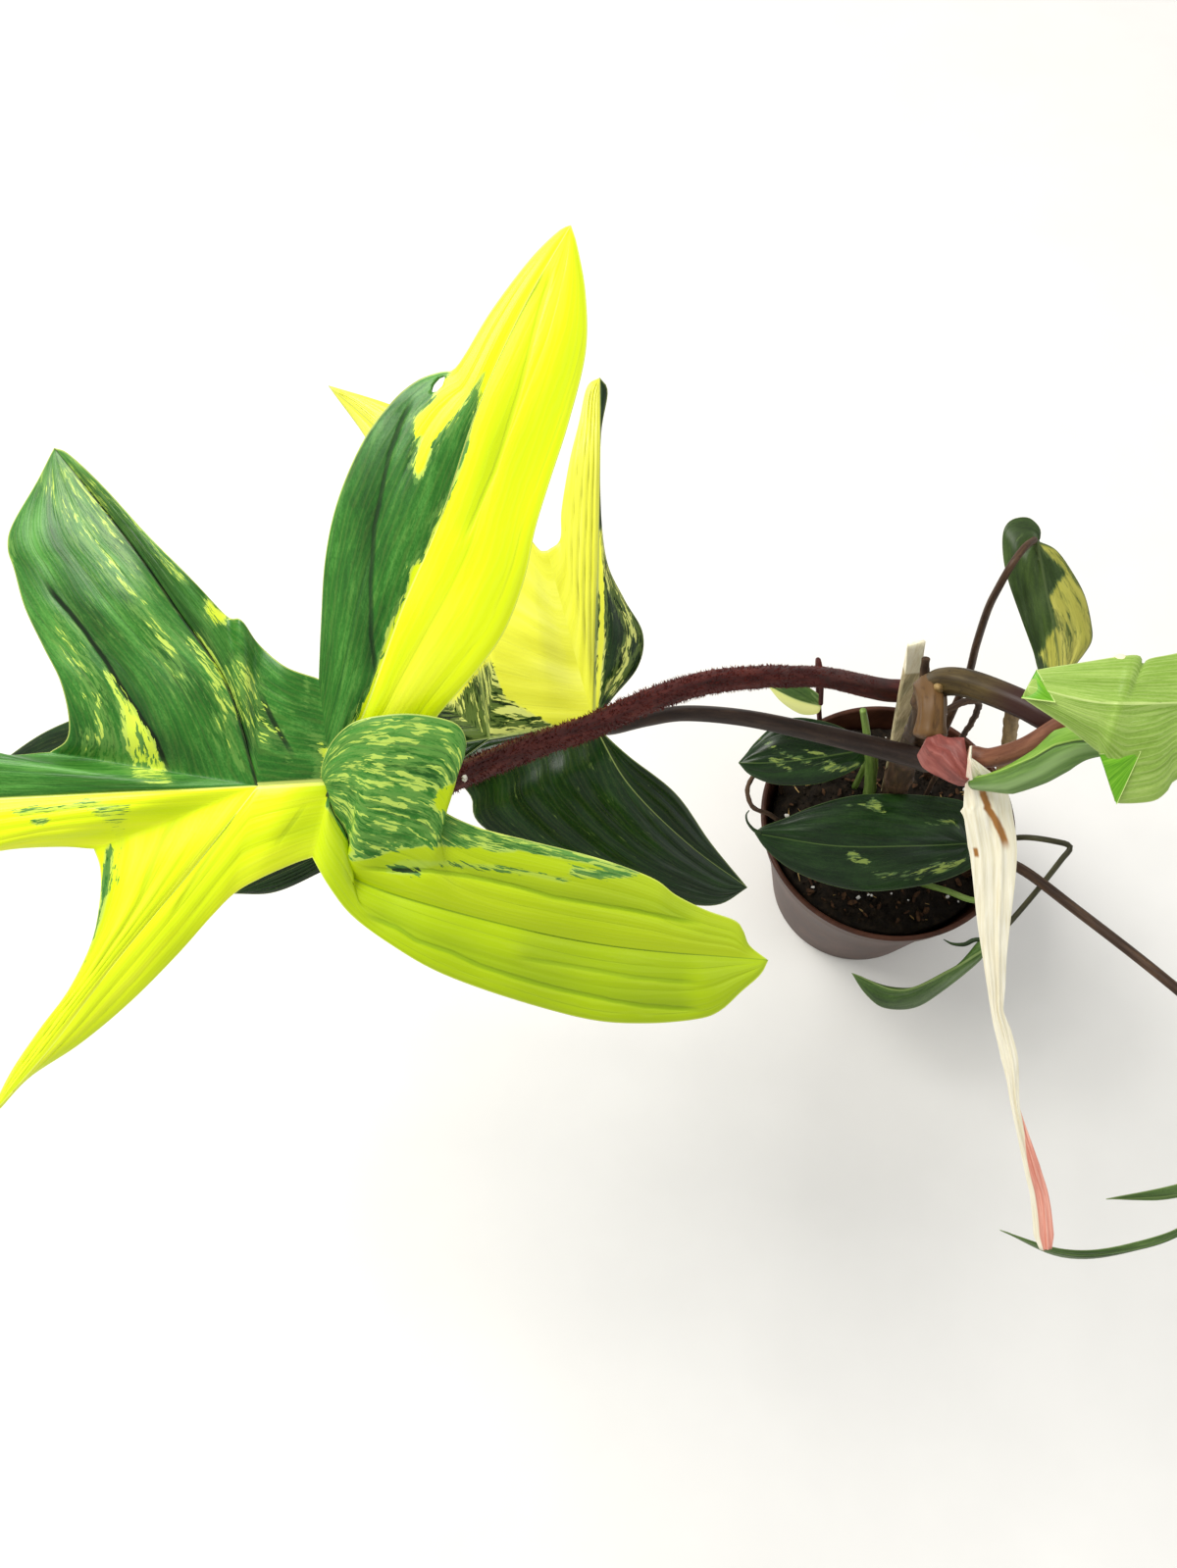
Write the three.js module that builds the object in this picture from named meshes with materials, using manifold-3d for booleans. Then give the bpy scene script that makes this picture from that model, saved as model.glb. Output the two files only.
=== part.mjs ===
// A variegated climbing philodendron in a small round nursery pot.
// Millimetres, +Z up. The origin is the middle of the pot's flat base, +X runs to the new leaf's side and
// +Y to the back. The stem climbs a split-wood stake and nods at the top, and every leaf has its own petiole.
import * as THREE from 'three';
import { mergeVertices } from 'three/addons/utils/BufferGeometryUtils.js';
import Module from 'manifold-3d';

const wasm = await Module();
wasm.setup();

// Pot and soil
const POT_HEIGHT = 100;
const RIM_RADIUS = 60;
const BASE_RADIUS = 43.5;
const COLLAR_HEIGHT = 14;
const WALL = 1.6;
const SOIL_LEVEL = 88;
const HOLE_COUNT = 6;
const HOLE_RADIUS = 3.5;
const HOLE_CIRCLE = 29;
const POT_SIDES = 36;

// Clearance between pieces that touch
const GAP = 0.3;

// Diameter over which a stalk is drawn with eight sides
const THICK_STALK = 4.7;

// Blades: half their thickness, how far the midrib stands out below, where a half-lobe is divided
// between its rib (0) and its margin (1), and the height of its arch as a share of its width
const HALF_BLADE = 0.4;
const RIB_DEPTH = 1.3;
const ACROSS = [0, 0.13, 0.55, 1];
const ARCH = 0.06;

// The large blades are drawn on boards square to the line of sight of a viewer who looks down at the pot
const EYE = new THREE.Vector3(-140.5, -192.5, 626.7);
const LOOK_DOWN = THREE.MathUtils.degToRad(67);
const HEAD_TILT = THREE.MathUtils.degToRad(5);

const level = new THREE.Vector3(1, 0, 0);
const rising = new THREE.Vector3(0, Math.sin(LOOK_DOWN), Math.cos(LOOK_DOWN));
const SIGHT_RIGHT = level.clone().multiplyScalar(Math.cos(HEAD_TILT))
  .addScaledVector(rising, -Math.sin(HEAD_TILT));
const SIGHT_UP = rising.clone().multiplyScalar(Math.cos(HEAD_TILT))
  .addScaledVector(level, Math.sin(HEAD_TILT));

const plant = new THREE.Group();

// Materials

function finish(color, roughness, metalness = 0) {
  return new THREE.MeshStandardMaterial({ color, roughness, metalness });
}

const FINISHES = {
  pot: finish(0x6d4034, 0.45),
  soil: finish(0x2a1b14, 0.95),
  stake: finish(0xc9bd96, 0.7),
  stem: finish(0x6f5530, 0.55),
  petiole: finish(0x4a1f1c, 0.5),
  youngPetiole: finish(0x7a4434, 0.5),
  greenPetiole: finish(0x6f9a3a, 0.45),
  yellowLeaf: finish(0xc9d918, 0.35),
  greenLeaf: finish(0x2f5a2a, 0.3),
  newLeaf: finish(0x9bc75a, 0.4),
  sheath: finish(0xa85a56, 0.5),
  paleSheath: finish(0xeee4cf, 0.55),
  greenSheath: finish(0x7fa548, 0.4),
  root: finish(0x3c2a20, 0.7),
};

// Mesh helpers

function closedGeometry(points, faces) {
  const geometry = new THREE.BufferGeometry();
  const numbers = points.flatMap((p) => [p.x, p.y, p.z]);
  geometry.setAttribute('position', new THREE.Float32BufferAttribute(numbers, 3));
  geometry.setIndex(faces.flat());
  return geometry;
}

function toSolid(geometry) {
  const bare = geometry.clone();
  bare.deleteAttribute('normal');
  bare.deleteAttribute('uv');
  const merged = mergeVertices(bare, 1e-3);
  const vertProperties = new Float32Array(merged.attributes.position.array);
  const triVerts = new Uint32Array(merged.index.array);
  return new wasm.Manifold(new wasm.Mesh({ numProp: 3, vertProperties, triVerts }));
}

function toGeometry(solid) {
  const mesh = solid.getMesh();
  const geometry = new THREE.BufferGeometry();
  geometry.setAttribute('position', new THREE.BufferAttribute(new Float32Array(mesh.vertProperties), 3));
  geometry.setIndex(new THREE.BufferAttribute(new Uint32Array(mesh.triVerts), 1));
  return geometry;
}

// What is left of a piece once its neighbours' swollen shapes are cut from it: its largest part
function clearOf(geometry, neighbours) {
  let solid = toSolid(geometry);
  for (const neighbour of neighbours) solid = solid.subtract(toSolid(neighbour));
  const parts = solid.decompose();
  parts.sort((a, b) => b.volume() - a.volume());
  return toGeometry(parts[0]);
}

function joined(geometries) {
  return toGeometry(geometries.map(toSolid).reduce((whole, part) => whole.add(part)));
}

function piece(name, geometry, material) {
  const mesh = new THREE.Mesh(geometry, material);
  mesh.name = name;
  plant.add(mesh);
}

function smoothCurve(points) {
  const curve = new THREE.CatmullRomCurve3(points, false, 'catmullrom', 0.5);
  curve.arcLengthDivisions = 400;
  return curve;
}

// Stems, petioles, sheaths and roots: rings carried along a smooth route

// Closes a stack of rings of equal count into a solid with a fan at each end
function loft(rings) {
  const sides = rings[0].length;
  const points = rings.flat();
  const faces = [];
  for (let i = 0; i + 1 < rings.length; i++) {
    for (let j = 0; j < sides; j++) {
      const a = i * sides + j;
      const b = i * sides + ((j + 1) % sides);
      faces.push([a, b, b + sides], [a, b + sides, a + sides]);
    }
  }
  const last = (rings.length - 1) * sides;
  for (let j = 1; j + 1 < sides; j++) {
    faces.push([0, j + 1, j], [last, last + j, last + j + 1]);
  }
  return closedGeometry(points, faces);
}

// section(t) gives the ring at the fraction t of the route as pairs: sideways, and towards the front
function swept(route, steps, section, front = new THREE.Vector3(0, 0, 1)) {
  const curve = smoothCurve(route);
  const rings = [];
  let towards = front.clone();
  for (let i = 0; i <= steps; i++) {
    const t = i / steps;
    const along = curve.getTangentAt(t);
    towards = towards.addScaledVector(along, -towards.dot(along)).normalize();
    const sideways = new THREE.Vector3().crossVectors(towards, along);
    const centre = curve.getPointAt(t);
    rings.push(section(t).map(([across, out]) => (
      centre.clone().addScaledVector(sideways, across).addScaledVector(towards, out)
    )));
  }
  return loft(rings);
}

// widths are diameters at even steps along the route
function diameterAt(widths, t) {
  const place = t * (widths.length - 1);
  const k = Math.min(Math.floor(place), widths.length - 2);
  return THREE.MathUtils.lerp(widths[k], widths[k + 1], place - k);
}

// A round stalk, optionally swollen by the clearance that its neighbours keep; thin ones have fewer sides
function stalk({ route, widths, steps = 2 * route.length - 3 }, swell = 0) {
  const points = route.map((p) => new THREE.Vector3(...p));
  const sides = widths[0] > THICK_STALK ? 8 : 6;
  const ring = (t) => {
    const radius = diameterAt(widths, t) / 2 + swell;
    return Array.from({ length: sides }, (_, j) => {
      const angle = (2 * Math.PI * j) / sides;
      return [radius * Math.cos(angle), radius * Math.sin(angle)];
    });
  };
  return swept(points, steps, ring);
}

// Blades

// A board to draw a blade on: its joint with the petiole, and its right and up directions.
// Lift is measured towards the eye on a sight board, and along the board's normal on any other.
function sightBoard(joint) {
  return { joint: new THREE.Vector3(...joint), right: SIGHT_RIGHT, up: SIGHT_UP, normal: null };
}

function board(joint, right, up) {
  const r = new THREE.Vector3(...right).normalize();
  const u = new THREE.Vector3(...up).addScaledVector(r, -r.dot(new THREE.Vector3(...up))).normalize();
  const normal = new THREE.Vector3().crossVectors(r, u);
  return { joint: new THREE.Vector3(...joint), right: r, up: u, normal };
}

function onBoard(plane, [x, y, lift]) {
  const point = plane.joint.clone().addScaledVector(plane.right, x).addScaledVector(plane.up, y);
  const towards = plane.normal ?? EYE.clone().sub(point).normalize();
  return point.addScaledVector(towards, lift);
}

function evenly(plane, points, steps) {
  return smoothCurve(points.map((p) => onBoard(plane, p))).getSpacedPoints(steps);
}

// One half of a lobe: straight cross lines from its ribs to its margin, pulled up into a low arch
function halfLobe(plane, leaf, half) {
  const steps = half.ribs.reduce((sum, name) => sum + leaf.steps[name], 0);
  const rib = [];
  for (const name of half.ribs) {
    const run = evenly(plane, leaf.ribs[name], leaf.steps[name]);
    rib.push(...(rib.length ? run.slice(1) : run));
  }
  const margin = evenly(plane, half.margin, steps);
  return rib.map((start, i) => {
    const end = margin[i];
    const towards = plane.normal ?? EYE.clone().sub(start).normalize();
    return ACROSS.map((v) => {
      const rise = ARCH * start.distanceTo(end) * 4 * v * (1 - v) * (i > 0 ? 1 : 0);
      return start.clone().lerp(end, v).addScaledVector(towards, rise);
    });
  });
}

// Joins the half-lobes into one sheet, gives it its thickness with the ribs standing out on its underside,
// which is the upper face of a leaf that shows its back, and closes it along the margin
function blade(plane, leaf, swell = 0) {
  const points = [];
  const depths = [];
  const faces = [];
  const known = new Map();
  const indexOf = (point, across) => {
    const key = [point.x, point.y, point.z].map((c) => Math.round(c * 100)).join(' ');
    if (!known.has(key)) {
      known.set(key, points.length);
      points.push(point);
      depths.push(0);
    }
    const index = known.get(key);
    depths[index] = Math.max(depths[index], RIB_DEPTH * (leaf.ribScale ?? 1) * (across === 0 ? 1 : 0));
    return index;
  };
  for (const half of leaf.halves) {
    const rows = halfLobe(plane, leaf, half).map((row) => row.map((point, j) => indexOf(point, ACROSS[j])));
    for (let i = 0; i + 1 < rows.length; i++) {
      for (let j = 0; j + 1 < ACROSS.length; j++) {
        const corners = [rows[i][j], rows[i + 1][j], rows[i + 1][j + 1], rows[i][j + 1]];
        if (half.flip) corners.reverse();
        const [a, b, c, d] = corners;
        for (const face of [[a, b, c], [a, c, d]]) {
          if (new Set(face).size === 3) faces.push(face);
        }
      }
    }
  }
  depths[indexOf(onBoard(plane, [0, 0, 0]), 0)] = RIB_DEPTH * (leaf.ribScale ?? 1);
  const normals = points.map(() => new THREE.Vector3());
  for (const [a, b, c] of faces) {
    const area = points[b].clone().sub(points[a]).cross(points[c].clone().sub(points[a]));
    for (const k of [a, b, c]) normals[k].add(area);
  }
  normals.forEach((normal) => normal.normalize());
  const above = leaf.ribsUp ? 1 : 0;
  const top = points.map((p, k) => (
    p.clone().addScaledVector(normals[k], HALF_BLADE + above * depths[k] + swell)
  ));
  const under = points.map((p, k) => (
    p.clone().addScaledVector(normals[k], -HALF_BLADE - (1 - above) * depths[k] - swell)
  ));
  const count = points.length;
  const directed = new Set(faces.flatMap(([a, b, c]) => [`${a} ${b}`, `${b} ${c}`, `${c} ${a}`]));
  const closed = [];
  for (const [a, b, c] of faces) {
    closed.push([a, b, c], [a + count, c + count, b + count]);
    for (const [from, to] of [[a, b], [b, c], [c, a]]) {
      if (directed.has(`${to} ${from}`)) continue;
      closed.push([to, from, from + count], [to, from + count, to + count]);
    }
  }
  return closedGeometry([...top, ...under], closed);
}

// A blade with one midrib: two halves, each margin running from the joint to the tip
function simpleLeaf(rib, left, right, { steps = 7, ribScale = 0.7, ribsUp = false } = {}) {
  return {
    ribs: { midrib: rib },
    steps: { midrib: steps },
    ribScale,
    ribsUp,
    halves: [
      { ribs: ['midrib'], margin: left },
      { ribs: ['midrib'], margin: right, flip: true },
    ],
  };
}

// Large front leaf: five lobes, with the lowest one turned up into an ear over the petiole's end

const FRONT_TIPS = {
  end: [-177, -9, -55],
  upper: [-66, 79.5, -12],
  lower: [-81.5, -80, -38],
  crown: [57, 132.5, 26],
  skirt: [104, -42.5, -26],
};
const FRONT_SINUS = {
  upperEnd: [-67, 7, -8],
  upperCrown: [-3, 24.5, 3],
  lowerEnd: [-56.5, -16, -8],
  lowerSkirt: [-4.5, -18, -3],
};
const frontLeaf = {
  ribs: {
    trunk: [[0, 0, 0], [-9, -0.5, 0.5], [-17.5, -1, 0]],
    end: [[-17.5, -1, 0], [-48.5, -2.5, -1], [-79, -4, -6], [-114, -5.5, -16],
      [-149, -7, -34], FRONT_TIPS.end],
    upper: [[-17.5, -1, 0], [-24.5, 22.5, 2], [-36.5, 40.5, 2], [-48.5, 57.5, -2], FRONT_TIPS.upper],
    lower: [[-17.5, -1, 0], [-32, -19.5, -2], [-51, -42.5, -10], [-67, -63.5, -22], FRONT_TIPS.lower],
    crown: [[0, 0, 0], [8, 17, 4], [17, 41.5, 11], [26, 62.5, 17], [34.5, 88, 21],
      [45, 111.5, 24], FRONT_TIPS.crown],
    skirt: [[0, 0, 0], [0, -6, -1], [3.5, -12, -2], [4.5, -16.5, -3], [6, -23.5, -3], [33, -32, -4],
      [66, -39, -12],
      FRONT_TIPS.skirt],
  },
  steps: { trunk: 2, end: 12, upper: 10, lower: 9, crown: 12, skirt: 16 },
  halves: [
    {
      ribs: ['end'], flip: true,
      margin: [FRONT_SINUS.upperEnd, [-79, 6.5, -9], [-93, 10.5, -11], [-114, 14.5, -17], [-137.5, 11, -28],
        [-158.5, 3, -42], FRONT_TIPS.end],
    },
    {
      ribs: ['end'],
      margin: [FRONT_SINUS.lowerEnd, [-65, -15.5, -8], [-79, -16.5, -9], [-93, -20.5, -12],
        [-114, -25, -18],
        [-137.5, -24, -29], [-158.5, -18, -43], FRONT_TIPS.end],
    },
    {
      ribs: ['upper'],
      margin: [FRONT_SINUS.upperEnd, [-63, 10, -5], [-62.5, 15.5, -3], [-64.5, 24, -3], [-68.5, 32, -5],
        [-73, 41.5, -6], [-75.5, 50.5, -8], [-77, 55.5, -9], [-76, 61, -10],
        [-70, 71.5, -12], FRONT_TIPS.upper],
    },
    {
      ribs: ['trunk', 'upper'], flip: true,
      margin: [FRONT_SINUS.upperCrown, [-11, 27.5, 5], [-17.5, 33, 3], [-21.5, 38.5, 6], [-25, 39.5, 3],
        [-33.5, 48.5, 5], [-44, 59, 2], [-54.5, 70.5, -3], [-62.5, 78, -9], FRONT_TIPS.upper],
    },
    {
      ribs: ['crown'],
      margin: [FRONT_SINUS.upperCrown, [-2.5, 36.5, 5], [-1.5, 53, 9], [1.5, 67, 12], [7.5, 81, 15],
        [14.5, 90.5, 17],
        [20.5, 95.5, 18], [26, 97.5, 19], [29, 98, 20], [32, 102, 21], [38, 112, 22], [47, 124, 24],
        [54, 131, 25.5],
        FRONT_TIPS.crown],
    },
    {
      ribs: ['crown'], flip: true,
      margin: [[0, 0, 0], [10, 4, -1], [20.5, 10, 0], [26, 16.5, 3], [35.5, 27.5, 8], [41.5, 36.5, 11],
        [46, 48.5, 14],
        [48.5, 60, 17], [52, 71.5, 19], [56.5, 85.5, 21], [60.5, 102, 23], [60.5, 116, 24],
        [58.5, 127.5, 25.5],
        FRONT_TIPS.crown],
    },
    {
      ribs: ['lower'], flip: true,
      margin: [FRONT_SINUS.lowerEnd, [-55, -20.5, -8], [-55, -27.5, -9], [-57, -38, -12],
        [-62.5, -49.5, -17],
        [-69.5, -59, -23], [-76.5, -69.5, -31], FRONT_TIPS.lower],
    },
    {
      ribs: ['trunk', 'lower'],
      margin: [FRONT_SINUS.lowerSkirt, [-9, -19.5, -3], [-17, -23, -3], [-23, -26.5, -4], [-28.5, -32, -5],
        [-37, -41.5, -9], [-48.5, -53, -15], [-60, -62.5, -22], [-72, -70.5, -30],
        [-79, -78, -36], FRONT_TIPS.lower],
    },
    {
      ribs: ['skirt'], flip: true,
      margin: [FRONT_SINUS.lowerSkirt, [-0.5, -25, -1], [5, -32, -1], [14.5, -39, -2], [26, -45.5, -4],
        [42.5, -51.5, -8], [61, -56.5, -14], [75, -57.5, -18], [87, -56.5, -22], [92.5, -54.5, -23],
        [97.5, -50, -24],
        [102, -46, -25], FRONT_TIPS.skirt],
    },
    {
      ribs: ['skirt'],
      margin: [[0, 0, 0], [-2.5, 1.5, 1.5], [-0.5, 8.5, 5], [5, 14, 8], [13.5, 16, 10], [21.5, 16, 10],
        [29.5, 14, 9],
        [32, 10, 8], [31, 6, 7], [26, 3, 5], [22.5, -0.5, 3], [23, -3.5, 2], [27.5, -7.5, 2],
        [35.5, -11, 1],
        [47, -14, -2], [61, -17.5, -6], [70.5, -20.5, -9], [77.5, -23.5, -12], [82, -27, -15],
        [89, -30.5, -19],
        [96, -33, -22], [98, -35.5, -23], [99.5, -39, -24.5], FRONT_TIPS.skirt],
    },
  ],
};

// Large rear leaf: five plain lobes, half hidden below the front leaf

const REAR_TIPS = {
  end: [-205, -28.5, -55],
  upper: [-83.5, 106.5, -14],
  lower: [-113, -53.5, -24],
  crown: [2, 109, 12],
  skirt: [48.5, -51.5, -10],
};
const REAR_SINUS = {
  upperEnd: [-54, 11.5, -3],
  upperCrown: [-14.5, 54.5, 8],
  lowerEnd: [-72.5, -19, -6],
  lowerSkirt: [-43, -17.5, -3],
};
const rearLeaf = {
  ribs: {
    trunk: [[0, 0, 0], [-17, -2, 0.5], [-32.5, -4.5, 0]],
    end: [[-32.5, -4.5, 0], [-78.5, -11.5, -6], [-125, -17.5, -18], [-165, -23, -34], REAR_TIPS.end],
    upper: [[-32.5, -4.5, 0], [-38.5, 30, 1], [-51, 67.5, -3], [-67.5, 92, -8], REAR_TIPS.upper],
    lower: [[-32.5, -4.5, 0], [-57, -22, -4], [-85, -40.5, -12], REAR_TIPS.lower],
    crown: [[0, 0, 0], [0.5, 27, 5], [1.5, 55, 10], [2, 82.5, 12], REAR_TIPS.crown],
    skirt: [[0, 0, 0], [11, -19, 2], [29.5, -37.5, -2], REAR_TIPS.skirt],
  },
  steps: { trunk: 3, end: 10, upper: 8, lower: 7, crown: 10, skirt: 8 },
  halves: [
    {
      ribs: ['end'], flip: true,
      margin: [REAR_SINUS.upperEnd, [-94, 11.5, -9], [-140.5, 8, -22], [-166, 0.5, -34], [-183, -9.5, -44],
        REAR_TIPS.end],
    },
    {
      ribs: ['end'],
      margin: [REAR_SINUS.lowerEnd, [-109.5, -34.5, -13], [-149.5, -38.5, -27],
        [-180.5, -34.5, -42], REAR_TIPS.end],
    },
    {
      ribs: ['upper'],
      margin: [REAR_SINUS.upperEnd, [-55.5, 30, -3], [-60, 55, -6], [-65, 75, -9],
        [-71, 89, -12], REAR_TIPS.upper],
    },
    {
      ribs: ['trunk', 'upper'], flip: true,
      margin: [REAR_SINUS.upperCrown, [-18.5, 56.5, 7], [-32.5, 78, 2], [-48, 93.5, -4], [-64, 100.5, -9],
        REAR_TIPS.upper],
    },
    {
      ribs: ['crown'],
      margin: [REAR_SINUS.upperCrown, [-10.5, 58, 8], [-10, 67.5, 9], [-7.5, 82.5, 10], [-4.5, 95, 11],
        [-2, 106, 12],
        REAR_TIPS.crown],
    },
    {
      ribs: ['crown'], flip: true,
      margin: [[0, 0, 0], [6, 8, -1], [14, 18, -2], [15.5, 28.5, 0], [9.5, 39.5, 4], [4, 52, 8],
        [2, 73.5, 10],
        [2.5, 92, 11], [4.5, 104.5, 12], REAR_TIPS.crown],
    },
    {
      ribs: ['lower'], flip: true,
      margin: [REAR_SINUS.lowerEnd, [-85, -28.5, -10], [-100.5, -40.5, -18], REAR_TIPS.lower],
    },
    {
      ribs: ['trunk', 'lower'],
      margin: [REAR_SINUS.lowerSkirt, [-51, -24, -4], [-63, -34.5, -8], [-86.5, -47, -14],
        [-100.5, -53, -20],
        REAR_TIPS.lower],
    },
    {
      ribs: ['skirt'], flip: true,
      margin: [REAR_SINUS.lowerSkirt, [-38.5, -23, -3], [-34, -33, -4], [-1.5, -50, -5], [23, -55.5, -8],
        [38.5, -57, -11], REAR_TIPS.skirt],
    },
    {
      ribs: ['skirt'],
      margin: [[0, 0, 0], [11, -10, 3], [26, -22, 2], [37, -37.5, -3], REAR_TIPS.skirt],
    },
  ],
};

// The same leaf turned over left to right, at another size and with more droop towards its tips
function mirrored(leaf, scale, droop) {
  const turn = ([x, y, lift]) => [-x * scale, y * scale, lift * scale - droop * ((x * scale) / 100) ** 2];
  return {
    ribs: Object.fromEntries(Object.entries(leaf.ribs).map(([name, rib]) => [name, rib.map(turn)])),
    steps: leaf.steps,
    halves: leaf.halves.map((half) => ({ ...half, flip: !half.flip, margin: half.margin.map(turn) })),
  };
}

// Low leaf on the right: a narrow-lobed young leaf that hangs down, drawn seen from the front

const LOW_TIPS = {
  end: [10, -118, 0],
  far: [-111, -43, -3],
  near: [-71, -33, 1],
  right: [58, -55, -6],
  ear: [58, -6, -4],
};
const LOW_ROOT = [0, -24, 2];
const LOW_SINUS = {
  near: [-18, -22, 3],
  far: [-9, -44, 0],
  right: [12, -44, 0],
  ear: [17, -20, 1],
};
const lowLeaf = {
  ribScale: 0.8,
  ribs: {
    trunk: [[0, 0, 0], [-1, -12, 2], LOW_ROOT],
    end: [LOW_ROOT, [2, -55, 4], [5, -88, 3], LOW_TIPS.end],
    far: [LOW_ROOT, [-40, -36, 18], [-72, -44, 18], [-92, -46, 12], LOW_TIPS.far],
    right: [LOW_ROOT, [32, -38, 0], LOW_TIPS.right],
    near: [[0, 0, 0], [-22, -6, 6], [-45, -20, 10], LOW_TIPS.near],
    ear: [[0, 0, 0], [20, 8, 1], [38, 6, -2], LOW_TIPS.ear],
  },
  steps: { trunk: 2, end: 6, far: 7, right: 5, near: 6, ear: 6 },
  halves: [
    { ribs: ['near'], flip: true, margin: [[0, 0, 0], [-6, 8, 2], [-20, 5, 4],
      [-42, -11, 8], LOW_TIPS.near] },
    { ribs: ['near'], margin: [LOW_SINUS.near, [-34, -22, 7], [-50, -28, 8], LOW_TIPS.near] },
    { ribs: ['trunk', 'far'], flip: true, margin: [LOW_SINUS.near, [-40, -29, 17], [-70, -38, 17],
      [-92, -41, 11],
      LOW_TIPS.far] },
    { ribs: ['far'], margin: [LOW_SINUS.far, [-34, -44, 15], [-68, -51, 16],
      [-92, -51, 11], LOW_TIPS.far] },
    { ribs: ['end'], flip: true, margin: [LOW_SINUS.far, [-13, -70, -1], [-5, -98, 0], LOW_TIPS.end] },
    { ribs: ['end'], margin: [LOW_SINUS.right, [20, -70, -1], [19, -98, 0], LOW_TIPS.end] },
    { ribs: ['right'], flip: true, margin: [LOW_SINUS.right, [28, -50, -2],
      [45, -57, -4], LOW_TIPS.right] },
    { ribs: ['trunk', 'right'], margin: [LOW_SINUS.ear, [36, -28, -2], [50, -42, -4], LOW_TIPS.right] },
    { ribs: ['ear'], flip: true, margin: [LOW_SINUS.ear, [32, -10, -2], [46, -8, -3], LOW_TIPS.ear] },
    { ribs: ['ear'], margin: [[0, 0, 0], [5, 9, 1], [20, 18, 0], [40, 14, -2], LOW_TIPS.ear] },
  ],
};

// Blades with one midrib

const newLeaf = simpleLeaf(
  [[0, 0, 0], [-20, -2, 3], [-37.5, -3, 4], [-58.5, -3, 3], [-77.5, 2.5, -2]],
  [[0, 0, 0], [4, -4, 0], [7, -12, -2], [1.5, -21.5, -4], [-10.5, -24, -4], [-27, -23, -3],
  [-37.5, -24, -4],
    [-40.5, -27.5, -5], [-44.5, -30, -6], [-54, -30.5, -8], [-59, -17.5, -4], [-68, -9.5, -3],
    [-79, -0.5, -3],
    [-77.5, 2.5, -2]],
  [[0, 0, 0], [3, 4, 0], [6.5, 9.5, -2], [2.5, 16, -4], [-8, 17.5, -4], [-21.5, 14, -3], [-37.5, 10.5, -2],
    [-45, 9, -2], [-47, 7.5, -2], [-49, 10, -2], [-64.5, 7.5, -3], [-76, 6, -4], [-77.5, 2.5, -2]],
  { steps: 22, ribScale: 0.5, ribsUp: true },
);
const NEW_LEAF_FOLDS = [
  [[-76, 6, -3.5], [-79, -0.5, -2.5], [-71.5, -3, -0.5]],
  [[-59, -17.5, -3.5], [-54, -30.5, -7.5], [-47, -16.5, -2]],
];

const uprightLeaf = simpleLeaf(
  [[0, 0, 0], [4, -20, -1], [8, -40, -3], [9, -55, -5]],
  [[0, 0, 0], [7.5, -3.5, -1], [13.5, -11.5, -3], [18.5, -21, -5], [21, -32, -7], [21, -37.5, -7],
  [18.5, -42, -7],
    [13.5, -48.5, -6], [9, -55, -5]],
  [[0, 0, 0], [2, 2, -2], [1, 5.5, -3], [-3, 8.5, -5], [-9, 7.5, -6], [-12, 3, -6], [-12, -6, -7],
  [-10, -15.5, -7],
    [-5.5, -28.5, -7], [-1, -41, -6], [2, -50.5, -5], [9, -55, -5]],
  { steps: 12, ribScale: 0.5, ribsUp: true },
);

const potLeaf = simpleLeaf(
  [[0, 0, 0], [-25, -1, 2], [-60, -1, 1], [-95.5, 4.5, -6]],
  [[0, 0, 0], [2, -6.5, 1], [0, -11, 0], [-13, -16.5, -2], [-30.5, -20, -3], [-47.5, -21, -4],
  [-65, -17.5, -5],
    [-80, -11, -6], [-90, -3, -6], [-95.5, 4.5, -6]],
  [[0, 0, 0], [1, 9, 1], [-2, 18, 0], [-17.5, 21, -2], [-37, 22, -3], [-53, 21, -4], [-69.5, 16.5, -5],
    [-82.5, 11, -6], [-92, 7.5, -6], [-95.5, 4.5, -6]],
  { steps: 9 },
);

const backLeaf = simpleLeaf(
  [[0, 0, 0], [-25, -4, 2], [-42, -5.5, 0], [-54.5, -5.5, -3]],
  [[0, 0, 0], [1, -5.5, 0], [-8, -11, -1], [-21, -15, -2], [-38, -15, -3], [-49, -11, -4],
  [-54.5, -5.5, -3]],
  [[0, 0, 0], [-1.5, 5.5, 0], [-12, 11.5, -1], [-27.5, 14.5, -2], [-38, 11.5, -3], [-47, 3.5, -4],
  [-51, -1.5, -4],
    [-54.5, -5.5, -3]],
);

const smallLeaf = simpleLeaf(
  [[0, 0, 0], [-11, 3, 1], [-23, 9, -1]],
  [[0, 0, 0], [-2, -3, 0], [-9, -3, -1], [-17, 2, -1], [-23, 9, -1]],
  [[0, 0, 0], [0, 4, 0], [-7, 9, -1], [-16, 11, -1], [-23, 9, -1]],
  { steps: 5, ribScale: 0.4 },
);

const kneeLeaf = simpleLeaf(
  [[0, 0, 0], [-15, -9, 2], [-36, -17.5, 2], [-57, -10, -4]],
  [[0, 0, 0], [-2, -5, -3], [-18, -18, -6], [-30, -25, -7], [-43, -25, -6], [-51, -19, -5], [-57, -10, -4]],
  [[0, 0, 0], [-2, 4, -3], [-14, -10, -4], [-28, -16, -5], [-40, -16, -5], [-50, -13, -4], [-57, -10, -4]],
  { ribScale: 0.4 },
);

// Pot, soil and stake

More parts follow.
